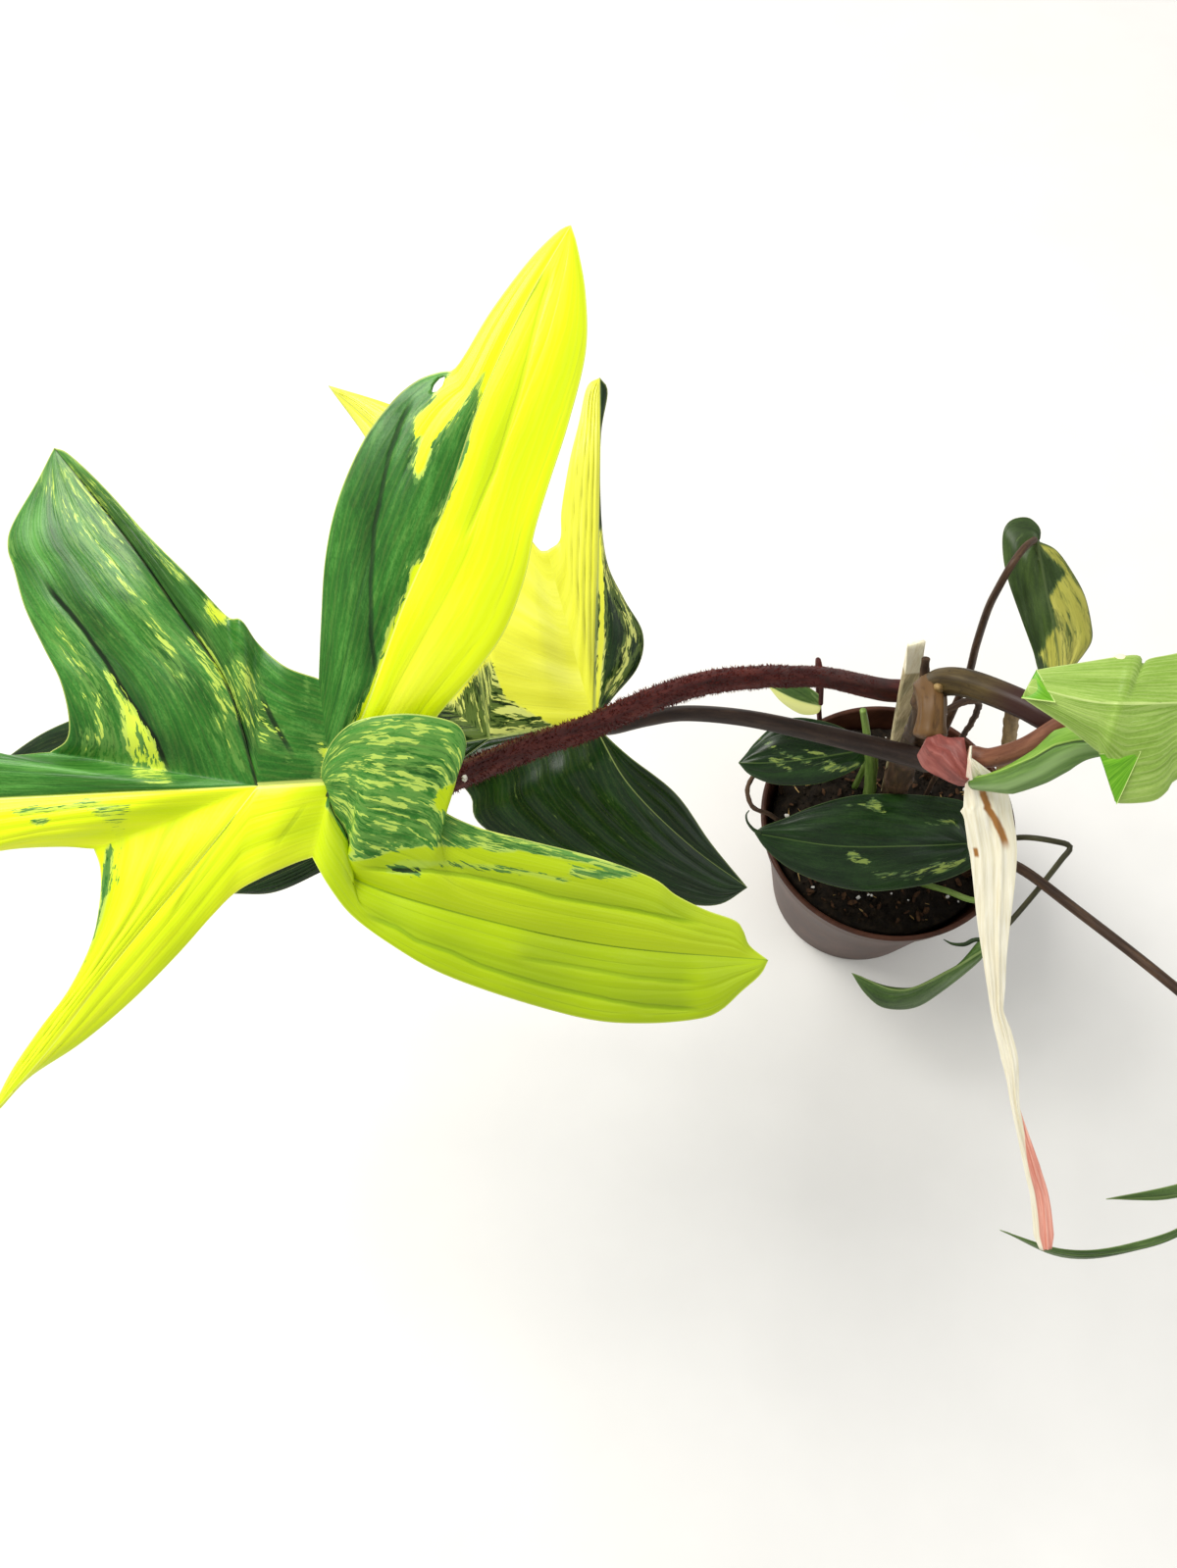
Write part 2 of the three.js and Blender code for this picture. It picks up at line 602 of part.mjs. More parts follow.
function pot() {
  const profile = [
    [0, 0],
    [BASE_RADIUS, 0],
    [RIM_RADIUS - 4.2, POT_HEIGHT - COLLAR_HEIGHT],
    [RIM_RADIUS - 2.2, POT_HEIGHT - COLLAR_HEIGHT + 2],
    [RIM_RADIUS - 1.2, POT_HEIGHT - 3],
    [RIM_RADIUS, POT_HEIGHT - 2],
    [RIM_RADIUS, POT_HEIGHT],
    [RIM_RADIUS - 2.2, POT_HEIGHT],
    [RIM_RADIUS - 4.2, POT_HEIGHT - COLLAR_HEIGHT + 2],
    [BASE_RADIUS - WALL, WALL + 0.6],
    [0, WALL + 0.6],
  ].map(([r, z]) => new THREE.Vector2(r, z));
  const body = new THREE.LatheGeometry(profile, POT_SIDES).rotateX(Math.PI / 2);
  let solid = toSolid(body);
  for (let k = 0; k < HOLE_COUNT; k++) {
    const angle = (2 * Math.PI * (k + 0.5)) / HOLE_COUNT;
    const drill = new THREE.CylinderGeometry(HOLE_RADIUS, HOLE_RADIUS, 4 * WALL, 12).rotateX(Math.PI / 2);
    drill.translate(HOLE_CIRCLE * Math.cos(angle), HOLE_CIRCLE * Math.sin(angle), WALL);
    solid = solid.subtract(toSolid(drill));
  }
  return toGeometry(solid);
}

// Height of the loose soil's surface at (x, y): low waves about its level
function soilHeight(x, y) {
  return SOIL_LEVEL + 1.1 * Math.sin(x * 0.21 + 1) * Math.cos(y * 0.17) + 0.6 * Math.sin(x * 0.53 - y * 0.41);
}

function soil() {
  const floor = WALL + 0.6 + GAP;
  const wallSlope = (RIM_RADIUS - 4.2 - BASE_RADIUS) / (POT_HEIGHT - COLLAR_HEIGHT);
  const radiusAt = (z) => BASE_RADIUS - WALL - GAP - 0.1 + wallSlope * (z - floor);
  const top = radiusAt(SOIL_LEVEL - 2);
  const profile = [[0, floor], [radiusAt(floor), floor], [top, SOIL_LEVEL - 2]];
  for (const share of [0.78, 0.5, 0.24, 0]) profile.push([top * share, SOIL_LEVEL]);
  const outline = profile.map(([r, z]) => new THREE.Vector2(r, z));
  const body = new THREE.LatheGeometry(outline, 24).rotateX(Math.PI / 2);
  const place = body.attributes.position;
  for (let k = 0; k < place.count; k++) {
    if (place.getZ(k) > SOIL_LEVEL - 1) place.setZ(k, soilHeight(place.getX(k), place.getY(k)));
  }
  return body;
}

// Split lath with a slanting top, leaning to the left; its corners run round from the back left
const STAKE_FOOT = new THREE.Vector3(16, 20, 22);
const STAKE_TOP = new THREE.Vector3(-21.2, 3.9, 254);
const STAKE_WIDTH = 6;
const STAKE_DEPTH = 4;

function stake(swell = 0) {
  const half = [STAKE_WIDTH / 2 + swell, STAKE_DEPTH / 2 + swell];
  const corners = [[-1, -1], [1, -1], [1, 1], [-1, 1]];
  const shoulder = STAKE_FOOT.clone().lerp(STAKE_TOP, 0.15);
  const taper = [[STAKE_FOOT, 0.55, 0], [shoulder, 1, 0], [STAKE_TOP, 1, 2.6]];
  return loft(taper.map(([centre, size, slant]) => corners.map(([x, y]) => (
    centre.clone().add(new THREE.Vector3(x * half[0] * size, y * half[1] * size, slant * (y + 0.4 * x)))
  ))));
}

// Routes of the stems, petioles, sheaths and roots, from base to end

const STEM = {
  route: [[5, 4, 35], [3, 5, 88], [-2, 3.2, 130], [-7.5, -1.5, 172], [-11.5, -7, 212], [-16, -9.5, 243],
    [-19.5, -11, 258],
    [-21, -20, 263], [-22.5, -29, 259.5]],
  widths: [8, 12, 11.5, 11, 11.5, 10.5, 10, 10, 9.5],
};
const FRONT_PETIOLE = {
  route: [[-9, -4, 203], [-3.8, 2.5, 203.5], [-3.4, 9.5, 202.5], [-9, 15.4, 202], [-18.8, 15, 206.5],
    [-31.3, 11.7, 219.1], [-46.7, 5.8, 238.5], [-57.3, 0.3, 252.3], [-69.1, -4.5, 263.5],
    [-78, -9, 273.5], [-100, -18.5, 291], [-120.5, -31.5, 307.5], [-139, -45.5, 322], [-155.5, -57, 336.5],
    [-170.5, -68.5, 350], [-179.5, -75.5, 358], [-188.5, -77, 361.5], [-197.5, -77, 366],
    [-201, -77, 368.5]],
  widths: [9.6, 9.4, 8.4, 7.4, 7.4, 7.4, 7.2, 7, 6.7, 6.5, 6.2],
  steps: 32,
};
const REAR_PETIOLE = {
  route: [[-10, -10, 203], [-9, -17, 206], [-16, -17, 212], [-37, -15, 224], [-60.5, -13.5, 237.5],
    [-83.5, -13.5, 252],
    [-105, -16, 265], [-119, -21, 273.5], [-131, -27, 282], [-137, -30.5, 291]],
  widths: [8.6, 8.2, 7.2, 6.4, 5.6, 4.8, 4.6],
};
const RIGHT_PETIOLE = {
  route: [[-18, -10, 256], [-15.5, -13, 266], [-9.5, -18, 272], [1, -30.5, 281], [10.5, -40, 284],
    [26.5, -48, 286],
    [42.5, -53, 289], [75, -46, 298], [110, -31, 315], [137.5, -16.5, 325]],
  widths: [10, 9.6, 9, 8.2, 7.4, 7, 6.6, 6.4, 6.2],
};
const NEW_PETIOLE = {
  route: [[-17, -39, 264], [-8, -44, 269.5], [-1, -46.5, 281.5], [6.5, -46.5, 297.5], [16, -45, 308],
    [30.5, -49, 318],
    [47.5, -55, 327], [59, -59, 332]],
  widths: [6.6, 6.6, 6.4, 6, 5.6, 5.2, 4.8],
};
const LOW_PETIOLE = {
  route: [[34, -24, 66], [35, -27, 88], [37.5, -33, 118], [42.5, -41.5, 136.5], [58.5, -66.5, 148],
    [82, -104.5, 163.5],
    [99, -135, 172.5], [109.5, -153, 175]],
  widths: [4.8, 4.6, 4.4, 4.2, 4, 3.8, 3.6],
};
const UPRIGHT_PETIOLE = {
  route: [[26, 24, 66], [26, 25, 88], [25, 27.5, 115], [25, 30.5, 150], [23.5, 31, 181], [20, 31.5, 207],
    [18, 33, 232], [18, 33.5, 247], [20.5, 36.5, 256.5], [26.5, 43, 257.5], [32.5, 48.2, 254]],
  widths: [3.8, 3.8, 3.6, 3.4, 3.2, 3, 2.6],
};
const POT_PETIOLE = {
  route: [[2, -22, 70], [4, -26, 88], [10, -33, 98], [18, -40, 107], [28, -47.5, 113], [33, -45, 120],
    [31.5, -36, 127.5],
    [27, -28, 131]],
  widths: [3, 3, 2.8, 2.8, 2.6, 2.6],
};
const BACK_PETIOLE = {
  route: [[-10, 22, 68], [-10, 22, 88], [-11, 20, 115], [-13, 18, 138], [-18, 15, 148.5]],
  widths: [3, 3, 2.8, 2.6],
};
const SMALL_PETIOLE = {
  route: [[-20, 27, 68], [-22, 28, 88], [-33, 33, 140], [-41, 35.5, 190], [-42.5, 34, 201],
    [-41, 29.5, 194],
    [-39.5, 25.5, 178]],
  widths: [2.6, 2.6, 2.4, 2.2, 2, 2],
};
const KNEE_PETIOLE = {
  route: [[43, -9, 70], [44, -12, 88], [46, -20, 112], [50, -26, 131], [60, -30.5, 136],
    [67, -33.5, 135], [62, -39, 134], [50.5, -50, 132.5], [36, -63, 130.5], [22.9, -73.9, 128.4]],
  widths: [2.8, 2.8, 2.6, 2.6, 2.6, 2.4, 2.4, 2.2],
};
const GREEN_SHOOT = {
  route: [[-6, 8, 68], [-8, 7, 88], [-10.5, 7.6, 118], [-14.6, 11.4, 142.5], [-20.7, 13.3, 170.4],
    [-25, 15.8, 188]],
  widths: [5, 6.4, 6, 4.6, 3.4, 2.8],
};
const SIDE_SHOOT = {
  route: [[-6, 8, 68], [-6, 13.5, 88], [-7.5, 16, 118], [-11.5, 16.5, 142], [-15, 16, 158]],
  widths: [4, 4, 3.8, 3.2, 2.6],
};
const NODE_STUB = {
  route: [[-16, -8, 244], [-14.5, -1, 249], [-14, 3, 257]],
  widths: [4.6, 4, 3.4],
};
const RIM_ROOT = {
  route: [[-45, 21, 76], [-46.5, 23, 91], [-48.5, 24.5, 102], [-58, 26, 108.5], [-65, 19, 111],
    [-65, 9, 109.5], [-56.5, 4, 107.5],
    [-49.5, 2, 98], [-46, 1, 76]],
  widths: [2.4, 2.4, 2.2, 2.2, 2.4],
};
const TAN_ROOT = {
  route: [[0, -30, 279], [3.8, -28.8, 264], [8.1, -27.3, 249], [15.6, -24.4, 220], [24.6, -20.5, 177.6],
    [30, -16, 135],
    [31, -14, 88], [31, -14, 72]],
  widths: [5, 4.8, 4.4, 4, 3.6, 3.2, 3],
};
const DARK_ROOT = {
  route: [[-9, -6, 222], [2, -2, 224], [12, 2, 216], [17, 5, 190], [17, 7, 140], [16, 4, 100], [16, 4, 72]],
  widths: [2.8, 2.6, 2.4, 2.4, 2.2, 2.2],
};

// The swollen pink base of the sheaths, the long papery sheath that hangs from it, and the young
// two-keeled sheath that still holds a bud
const SHEATH_BASE = {
  route: [[-22, -31.5, 259.5], [-20.5, -37, 260.5], [-17.5, -43, 262.5], [-13.5, -48.5, 263]],
  widths: [9, 14.5, 15, 9],
};
const PALE_SHEATH = {
  route: [[-14, -46.5, 271.5], [-10.5, -53.4, 262.5], [-9.3, -59.4, 257.6], [-7.3, -68.4, 250.8],
    [-7.1, -76.3, 245.3],
    [-7.3, -92.7, 233.4], [-6.7, -110.1, 221.7], [-5.5, -120.6, 214.5], [-2.8, -132.1, 207.5],
    [-1.4, -148.3, 198.4],
    [2.5, -166.9, 188.9], [5.2, -178.2, 183], [5.5, -193.8, 175.3]],
  widths: [1.6, 14, 17, 15, 12.4, 11, 9, 6.8, 4, 5.6, 4.2, 3, 4.6, 6, 6.8, 4.4],
  depth: 1.8,
  hollow: 0.1,
};
const GREEN_SHEATH = {
  route: [[-13.8, -51.2, 264.5], [-10.5, -53.5, 272], [-7, -55.5, 279], [-1.5, -57, 290], [6, -58, 305], [15, -61, 311],
    [22, -63, 313]],
  widths: [7, 9, 11, 12.5, 11, 8, 3],
  depth: 6,
  hollow: 0.1,
};

function sheath({ route, widths, depth, hollow }, steps, swell = 0) {
  const points = route.map((p) => new THREE.Vector3(...p));
  const middle = route[Math.floor(route.length / 2)];
  const front = EYE.clone().sub(new THREE.Vector3(...middle)).normalize();
  const sides = 10;
  const ring = (t) => {
    const half = diameterAt(widths, t) / 2 + swell;
    return Array.from({ length: sides }, (_, j) => {
      const angle = (2 * Math.PI * j) / sides;
      const across = half * Math.cos(angle);
      const thick = Math.min(depth / 2, half * 0.8) + swell;
      return [across, thick * Math.sin(angle) - hollow * half * Math.cos(angle) ** 2];
    });
  };
  return swept(points, steps, ring, front);
}

// Assembly

const FRONT_BOARD = sightBoard([-201.4, -77.7, 371.3]);
const REAR_BOARD = sightBoard([-137.3, -30.7, 293.4]);
const NEW_BOARD = sightBoard([59.5, -59.5, 333.5]);
const RIGHT_BOARD = board([140, -16, 327], [0.93, 0.05, -0.36], [-0.05, 1, 0.25]);
const LOW_BOARD = board([110, -154, 176], [0.97, 0.24, 0], [-0.05, 0.2, 0.98]);
const UPRIGHT_BOARD = sightBoard([33.5, 49, 252.5]);
const POT_BOARD = sightBoard([25.5, -27, 132]);
const BACK_BOARD = sightBoard([-19, 14.5, 150]);
const SMALL_BOARD = sightBoard([-39, 25, 176]);
const KNEE_BOARD = sightBoard([22.5, -74, 128.5]);
const rightLeaf = mirrored(rearLeaf, 0.92, 9);

function plateOf(corners, plane) {
  const middle = corners.map((corner) => onBoard(plane, corner));
  const normal = plane.normal ?? EYE.clone().sub(middle[0]).normalize();
  const raised = (offset) => middle.map((p) => p.clone().addScaledVector(normal, offset));
  return loft([raised(-HALF_BLADE), raised(HALF_BLADE)]);
}

function newBlade() {
  return joined([blade(NEW_BOARD, newLeaf), ...NEW_LEAF_FOLDS.map((fold) => plateOf(fold, NEW_BOARD))]);
}

// Each leaf: its blade and the petiole that carries it, cut clear of the blade and of what it grows from
function leaf(name, { plane, shape, petiole, growsFrom = [], bladeFinish, stalkFinish, geometry }) {
  piece(`blade_${name}`, geometry ?? blade(plane, shape), bladeFinish);
  piece(`petiole_${name}`, clearOf(stalk(petiole), [blade(plane, shape, GAP), ...growsFrom]), stalkFinish);
}

const swollenStem = stalk(STEM, GAP);
const swollenBase = stalk(SHEATH_BASE, GAP);
const INTO_SOIL = [
  LOW_PETIOLE, UPRIGHT_PETIOLE, POT_PETIOLE, BACK_PETIOLE, SMALL_PETIOLE, KNEE_PETIOLE, GREEN_SHOOT,
  SIDE_SHOOT, RIM_ROOT, TAN_ROOT, DARK_ROOT,
];

piece('pot', pot(), FINISHES.pot);
const stalksInSoil = INTO_SOIL.map((planted) => stalk(planted, GAP));
piece('soil', clearOf(soil(), [swollenStem, stake(GAP), ...stalksInSoil]), FINISHES.soil);
piece('stake', stake(), FINISHES.stake);
piece('stem', stalk(STEM), FINISHES.stem);

leaf('front', {
  plane: FRONT_BOARD, shape: frontLeaf, petiole: FRONT_PETIOLE, growsFrom: [swollenStem],
  bladeFinish: FINISHES.yellowLeaf, stalkFinish: FINISHES.petiole,
});
leaf('rear', {
  plane: REAR_BOARD, shape: rearLeaf, petiole: REAR_PETIOLE, growsFrom: [swollenStem],
  bladeFinish: FINISHES.greenLeaf, stalkFinish: FINISHES.petiole,
});
leaf('right', {
  plane: RIGHT_BOARD, shape: rightLeaf, petiole: RIGHT_PETIOLE, growsFrom: [swollenStem],
  bladeFinish: FINISHES.greenLeaf, stalkFinish: FINISHES.petiole,
});
leaf('new', {
  plane: NEW_BOARD, shape: newLeaf, petiole: NEW_PETIOLE, growsFrom: [swollenBase],
  bladeFinish: FINISHES.newLeaf, stalkFinish: FINISHES.youngPetiole, geometry: newBlade(),
});
leaf('low', {
  plane: LOW_BOARD, shape: lowLeaf, petiole: LOW_PETIOLE,
  bladeFinish: FINISHES.greenLeaf, stalkFinish: FINISHES.petiole,
});
leaf('upright', {
  plane: UPRIGHT_BOARD, shape: uprightLeaf, petiole: UPRIGHT_PETIOLE,
  bladeFinish: FINISHES.greenLeaf, stalkFinish: FINISHES.petiole,
});
leaf('pot', {
  plane: POT_BOARD, shape: potLeaf, petiole: POT_PETIOLE,
  bladeFinish: FINISHES.greenLeaf, stalkFinish: FINISHES.greenPetiole,
});
leaf('back', {
  plane: BACK_BOARD, shape: backLeaf, petiole: BACK_PETIOLE,
  bladeFinish: FINISHES.greenLeaf, stalkFinish: FINISHES.greenPetiole,
});
leaf('small', {
  plane: SMALL_BOARD, shape: smallLeaf, petiole: SMALL_PETIOLE,
  bladeFinish: FINISHES.yellowLeaf, stalkFinish: FINISHES.petiole,
});
leaf('knee', {
  plane: KNEE_BOARD, shape: kneeLeaf, petiole: KNEE_PETIOLE,
  bladeFinish: FINISHES.greenLeaf, stalkFinish: FINISHES.petiole,
});

piece('sheath_base', clearOf(stalk(SHEATH_BASE), [swollenStem]), FINISHES.sheath);
const besideGreen = [swollenBase, stalk(NEW_PETIOLE, GAP)];
const besidePale = [swollenBase, sheath(GREEN_SHEATH, 10, GAP)];
piece('sheath_green', clearOf(sheath(GREEN_SHEATH, 10), besideGreen), FINISHES.greenSheath);
piece('sheath_pale', clearOf(sheath(PALE_SHEATH, 22), besidePale), FINISHES.paleSheath);

piece('green_shoot', joined([stalk(GREEN_SHOOT), stalk(SIDE_SHOOT)]), FINISHES.greenPetiole);

const GROWN = [
  ['node_stub', NODE_STUB, FINISHES.root, [swollenStem]],
  ['root_rim', RIM_ROOT, FINISHES.root, []],
  ['root_tan', TAN_ROOT, FINISHES.stem, [stalk(RIGHT_PETIOLE, GAP)]],
  ['root_dark', DARK_ROOT, FINISHES.root, [swollenStem]],
];
for (const [name, grown, material, growsFrom] of GROWN) {
  piece(name, clearOf(stalk(grown), growsFrom), material);
}

export default plant;
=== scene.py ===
"""Looks of a potted, variegated climbing philodendron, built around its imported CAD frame.

Lengths are millimetres in the formulas and metres in the meshes. +Z is up, the origin is the middle of the
pot's flat base, +X runs to the new leaf's side and +Y to the back. A finish's colours are given as they show
on a screen: red, green and blue from 0 to 255.
"""

import bpy
import numpy as np
from mathutils import Matrix


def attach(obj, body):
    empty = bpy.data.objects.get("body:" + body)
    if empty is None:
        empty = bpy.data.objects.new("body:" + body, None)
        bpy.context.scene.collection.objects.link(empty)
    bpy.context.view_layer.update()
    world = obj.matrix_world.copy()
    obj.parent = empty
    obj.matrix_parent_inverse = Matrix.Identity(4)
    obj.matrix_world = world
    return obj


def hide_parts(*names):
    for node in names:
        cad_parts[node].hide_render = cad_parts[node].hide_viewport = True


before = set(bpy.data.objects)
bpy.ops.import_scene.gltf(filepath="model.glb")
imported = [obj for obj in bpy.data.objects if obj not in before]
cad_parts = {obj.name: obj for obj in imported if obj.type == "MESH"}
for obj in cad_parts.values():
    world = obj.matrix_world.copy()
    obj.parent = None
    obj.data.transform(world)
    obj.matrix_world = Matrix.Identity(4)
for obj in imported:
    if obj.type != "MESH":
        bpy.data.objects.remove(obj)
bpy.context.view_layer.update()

MM = 0.001
X_AXIS = np.array([1, 0, 0])

# The viewpoint: the eye, how steeply it looks down and how far the head is tilted
EYE = np.array([-140.5, -192.5, 626.7])
LOOK_DOWN, HEAD_TILT = np.radians(67), np.radians(5)
RISING = np.array([0, np.sin(LOOK_DOWN), np.cos(LOOK_DOWN)])
SIGHT_RIGHT = X_AXIS * np.cos(HEAD_TILT) - RISING * np.sin(HEAD_TILT)
SIGHT_UP = RISING * np.cos(HEAD_TILT) + X_AXIS * np.sin(HEAD_TILT)

# Blades: the arch of a half-lobe as a share of its width, and the rib steps over which it sets in; half the
# sheet's thickness at its rim, and what it gains further in; a rib's height, its half-width, and the share
# of its height that the other face is sunk by; the steps to a millimetre at which points are welded
ARCH, SETTLE_STEPS = 0.06, 1.3
RIM_HALF_THICK, INNER_GAIN = 0.1, 0.22
RIB_HEIGHT, RIB_HALF_WIDTH, GROOVE_SHARE = 1.3, 1.5, 0.315
WELD_STEPS = 50

# Creases: how far from one its distance is still told, how wide its gentle and its steep side are, and the
# run over which its ends fade; a crease's line is drawn on past its ends by the overrun
CREASE_REACH, GENTLE_SIDE, STEEP_SIDE, CREASE_END = 8, 4.5, 1.3, 7
OVERRUN = 60

# Marks: how fast the tone changes with the distance from a mark's edge
EDGE_SLOPE = 2

# Stalks: the angles of the rings of a domed end, and how far the dome stands out as a share of the radius
DOME = np.radians([82, 64, 44, 22])
DOME_REACH = 0.45


# Shape helpers

def unit(v):
    """The vectors at length 1."""
    v = np.asarray(v, float)
    return v / np.maximum(np.linalg.norm(v, axis=-1, keepdims=True), 1e-9)


def ease(x):
    """0 below 0, 1 above 1 and a smooth rise between them."""
    x = np.clip(x, 0, 1)
    return x * x * (3 - 2 * x)


def ripple(xy, scale, seed, waves=9):
    """Smooth random height field: a sum of plane waves of about the given wavelength, from -1 to 1."""
    rng = np.random.default_rng(seed)
    angle = rng.uniform(0, 2 * np.pi, waves)
    number = 2 * np.pi / (scale * rng.uniform(0.6, 1.6, waves))
    phase = rng.uniform(0, 2 * np.pi, waves)
    run = np.cos(angle) * xy[..., :1] + np.sin(angle) * xy[..., 1:2]
    return np.sin(run * number + phase).sum(-1) / np.sqrt(waves) * 0.8


def smooth_curve(points, per_span=40):
    """Dense points of the Catmull-Rom curve of tension one half through the given points."""
    p = np.asarray(points, float)
    p = np.vstack([2 * p[0] - p[1], p, 2 * p[-1] - p[-2]])
    t = np.linspace(0, 1, per_span, endpoint=False)[None, :, None]
    a, b, c, d = p[:-3, None], p[1:-2, None], p[2:-1, None], p[3:, None]
    leave, arrive = 0.5 * (c - a), 0.5 * (d - b)
    curve = (b + leave * t + (3 * (c - b) - 2 * leave - arrive) * t ** 2
             + (2 * (b - c) + leave + arrive) * t ** 3)
    return np.vstack([curve.reshape(-1, p.shape[1]), p[-2:-1]])


def run_of(curve):
    """Length of the polyline up to each of its points."""
    return np.concatenate([[0], np.cumsum(np.linalg.norm(np.diff(curve, axis=0), axis=1))])


def evenly(points, shares):
    """Points at the given shares of the length of the smooth curve through points."""
    curve = smooth_curve(points)
    run = run_of(curve)
    return np.stack([np.interp(shares * run[-1], run, column) for column in curve.T], 1)


def piece(name, points, faces, finish, nodes=(), flat=(), corner=None, point=None):
    """One mesh in place: arrays of triangles or quads, of which the blocks numbered in flat are shaded flat,
    and attributes by name on face corners or on points."""
    blocks = [np.asarray(f, np.int32) for f in faces]
    mesh = bpy.data.meshes.new(name)
    mesh.vertices.add(len(points))
    mesh.vertices.foreach_set("co", (np.asarray(points) * MM).astype(np.float32).ravel())
    loops = np.concatenate([b.ravel() for b in blocks])
    sizes = np.concatenate([np.full(len(b), b.shape[1]) for b in blocks])
    mesh.loops.add(len(loops))
    mesh.loops.foreach_set("vertex_index", loops)
    mesh.polygons.add(len(sizes))
    mesh.polygons.foreach_set("loop_start", np.concatenate([[0], np.cumsum(sizes)[:-1]]).astype(np.int32))
    rounded = np.concatenate([np.full(len(b), k not in flat) for k, b in enumerate(blocks)])
    mesh.polygons.foreach_set("use_smooth", rounded)
    mesh.update(calc_edges=True)
    for domain, values in (("CORNER", corner or {}), ("POINT", point or {})):
        for label, value in values.items():
            value = np.asarray(value, np.float32)
            kind, field = ("FLOAT", "value") if value.ndim == 1 else ("FLOAT_VECTOR", "vector")
            mesh.attributes.new(label, kind, domain).data.foreach_set(field, value.ravel())
    mesh.materials.append(finish)
    made = bpy.data.objects.new(name, mesh)
    bpy.context.scene.collection.objects.link(made)
    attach(made, "root")
    if nodes:
        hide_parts(*nodes)
    return made


# Boards: planes that a blade is drawn on, square to the line of sight or turned as given

class Board:
    """A plane through a joint, with board coordinates to the right, up and, as lift, out of it."""

    def __init__(self, joint, right=None, up=None):
        self.joint = np.array(joint, float)
        self.sight = right is None
        self.right = SIGHT_RIGHT if self.sight else unit(right)
        rising = SIGHT_UP if self.sight else np.array(up, float)
        self.up = unit(rising - self.right * (rising @ self.right))
        self.normal = np.cross(self.right, self.up)

    def towards(self, points):
        """Direction in which lift is measured: to the eye on a sight board, else the normal."""
        return unit(EYE - points) if self.sight else np.broadcast_to(self.normal, points.shape)

    def place(self, drawn):
        """Points in space of board coordinates (right, up, lift)."""
        drawn = np.asarray(drawn, float)
        flat = self.joint + drawn[:, :1] * self.right + drawn[:, 1:2] * self.up
        return flat + self.towards(flat) * drawn[:, 2:]

    def read(self, points):
        """Board coordinates of points, seen from the eye on a sight board."""
        seen = points
        if self.sight:
            reach = ((self.joint - EYE) @ self.normal) / ((points - EYE) @ self.normal)
            seen = EYE + (points - EYE) * reach[..., None]
        return np.stack([(seen - self.joint) @ self.right, (seen - self.joint) @ self.up], -1)


# Marks on a blade

def distance_to(xy, line):
    """Distance from each point to a polyline."""
    line = np.asarray(line, float)
    a, step = line[:-1], np.diff(line, axis=0)
    offset = xy[..., None, :] - a
    share = np.clip((offset * step).sum(-1) / (step * step).sum(-1), 0, 1)
    return np.linalg.norm(offset - share[..., None] * step, axis=-1).min(-1)


def beside(xy, line):
    """Signed distance from a line drawn on past both its ends, the run along it from its start, and its
    length."""
    line = np.asarray(line, float)
    run = run_of(line)
    before, after = unit(line[0] - line[1]) * OVERRUN, unit(line[-1] - line[-2]) * OVERRUN
    drawn = np.vstack([line[0] + before, line, line[-1] + after])
    away, at = np.full(xy.shape[:-1], np.inf), np.zeros(xy.shape[:-1])
    for a, b, start in zip(drawn[:-1], drawn[1:], [-OVERRUN, *run]):
        step = unit(b - a)
        share = np.clip((xy - a) @ step, 0, np.linalg.norm(b - a))
        gap = xy - a - share[..., None] * step
        size = np.linalg.norm(gap, axis=-1) * np.sign(gap[..., 1] * step[0] - gap[..., 0] * step[1] + 1e-9)
        nearer = np.abs(size) < np.abs(away)
        away, at = np.where(nearer, size, away), np.where(nearer, start + share, at)
    return away, at, run[-1]


def inside(xy, outline):
    """Whether each point lies within a closed outline: an odd number of edges crossed to its right."""
    a = np.asarray(outline, float)
    b = np.roll(a, -1, axis=0)
    x, y = xy[..., 0, None], xy[..., 1, None]
    spans = (a[:, 1] > y) != (b[:, 1] > y)
    rise = np.where(b[:, 1] == a[:, 1], 1e-9, b[:, 1] - a[:, 1])
    cross = a[:, 0] + (y - a[:, 1]) * (b[:, 0] - a[:, 0]) / rise
    return (spans & (x < cross)).sum(-1) % 2 == 1


def paint(xy, tone, marks):
    """Adds marks to the tone, which is millimetres into yellow (above 0) or into green (below 0). A fleck
    mark draws the tone towards its own value, and no further. (A blade applies an "only" mark to the halves
    it lists.)"""
    for kind, value, *width, line in marks:
        away = distance_to(xy, [*line, line[0]] if kind == "area" else line)
        if kind == "flecks":
            tone = tone + (value - tone) * np.exp(-(away / width[0]) ** 2)
            continue
        if kind == "area":
            depth = EDGE_SLOPE * away * np.where(inside(xy, line), 1, -1)
        else:
            depth = width[0] - EDGE_SLOPE * away
        if value > 0:
            tone = np.maximum(tone, np.minimum(depth, value))
        else:
            tone = np.minimum(tone, np.maximum(-depth, value))
    return tone


# Blades

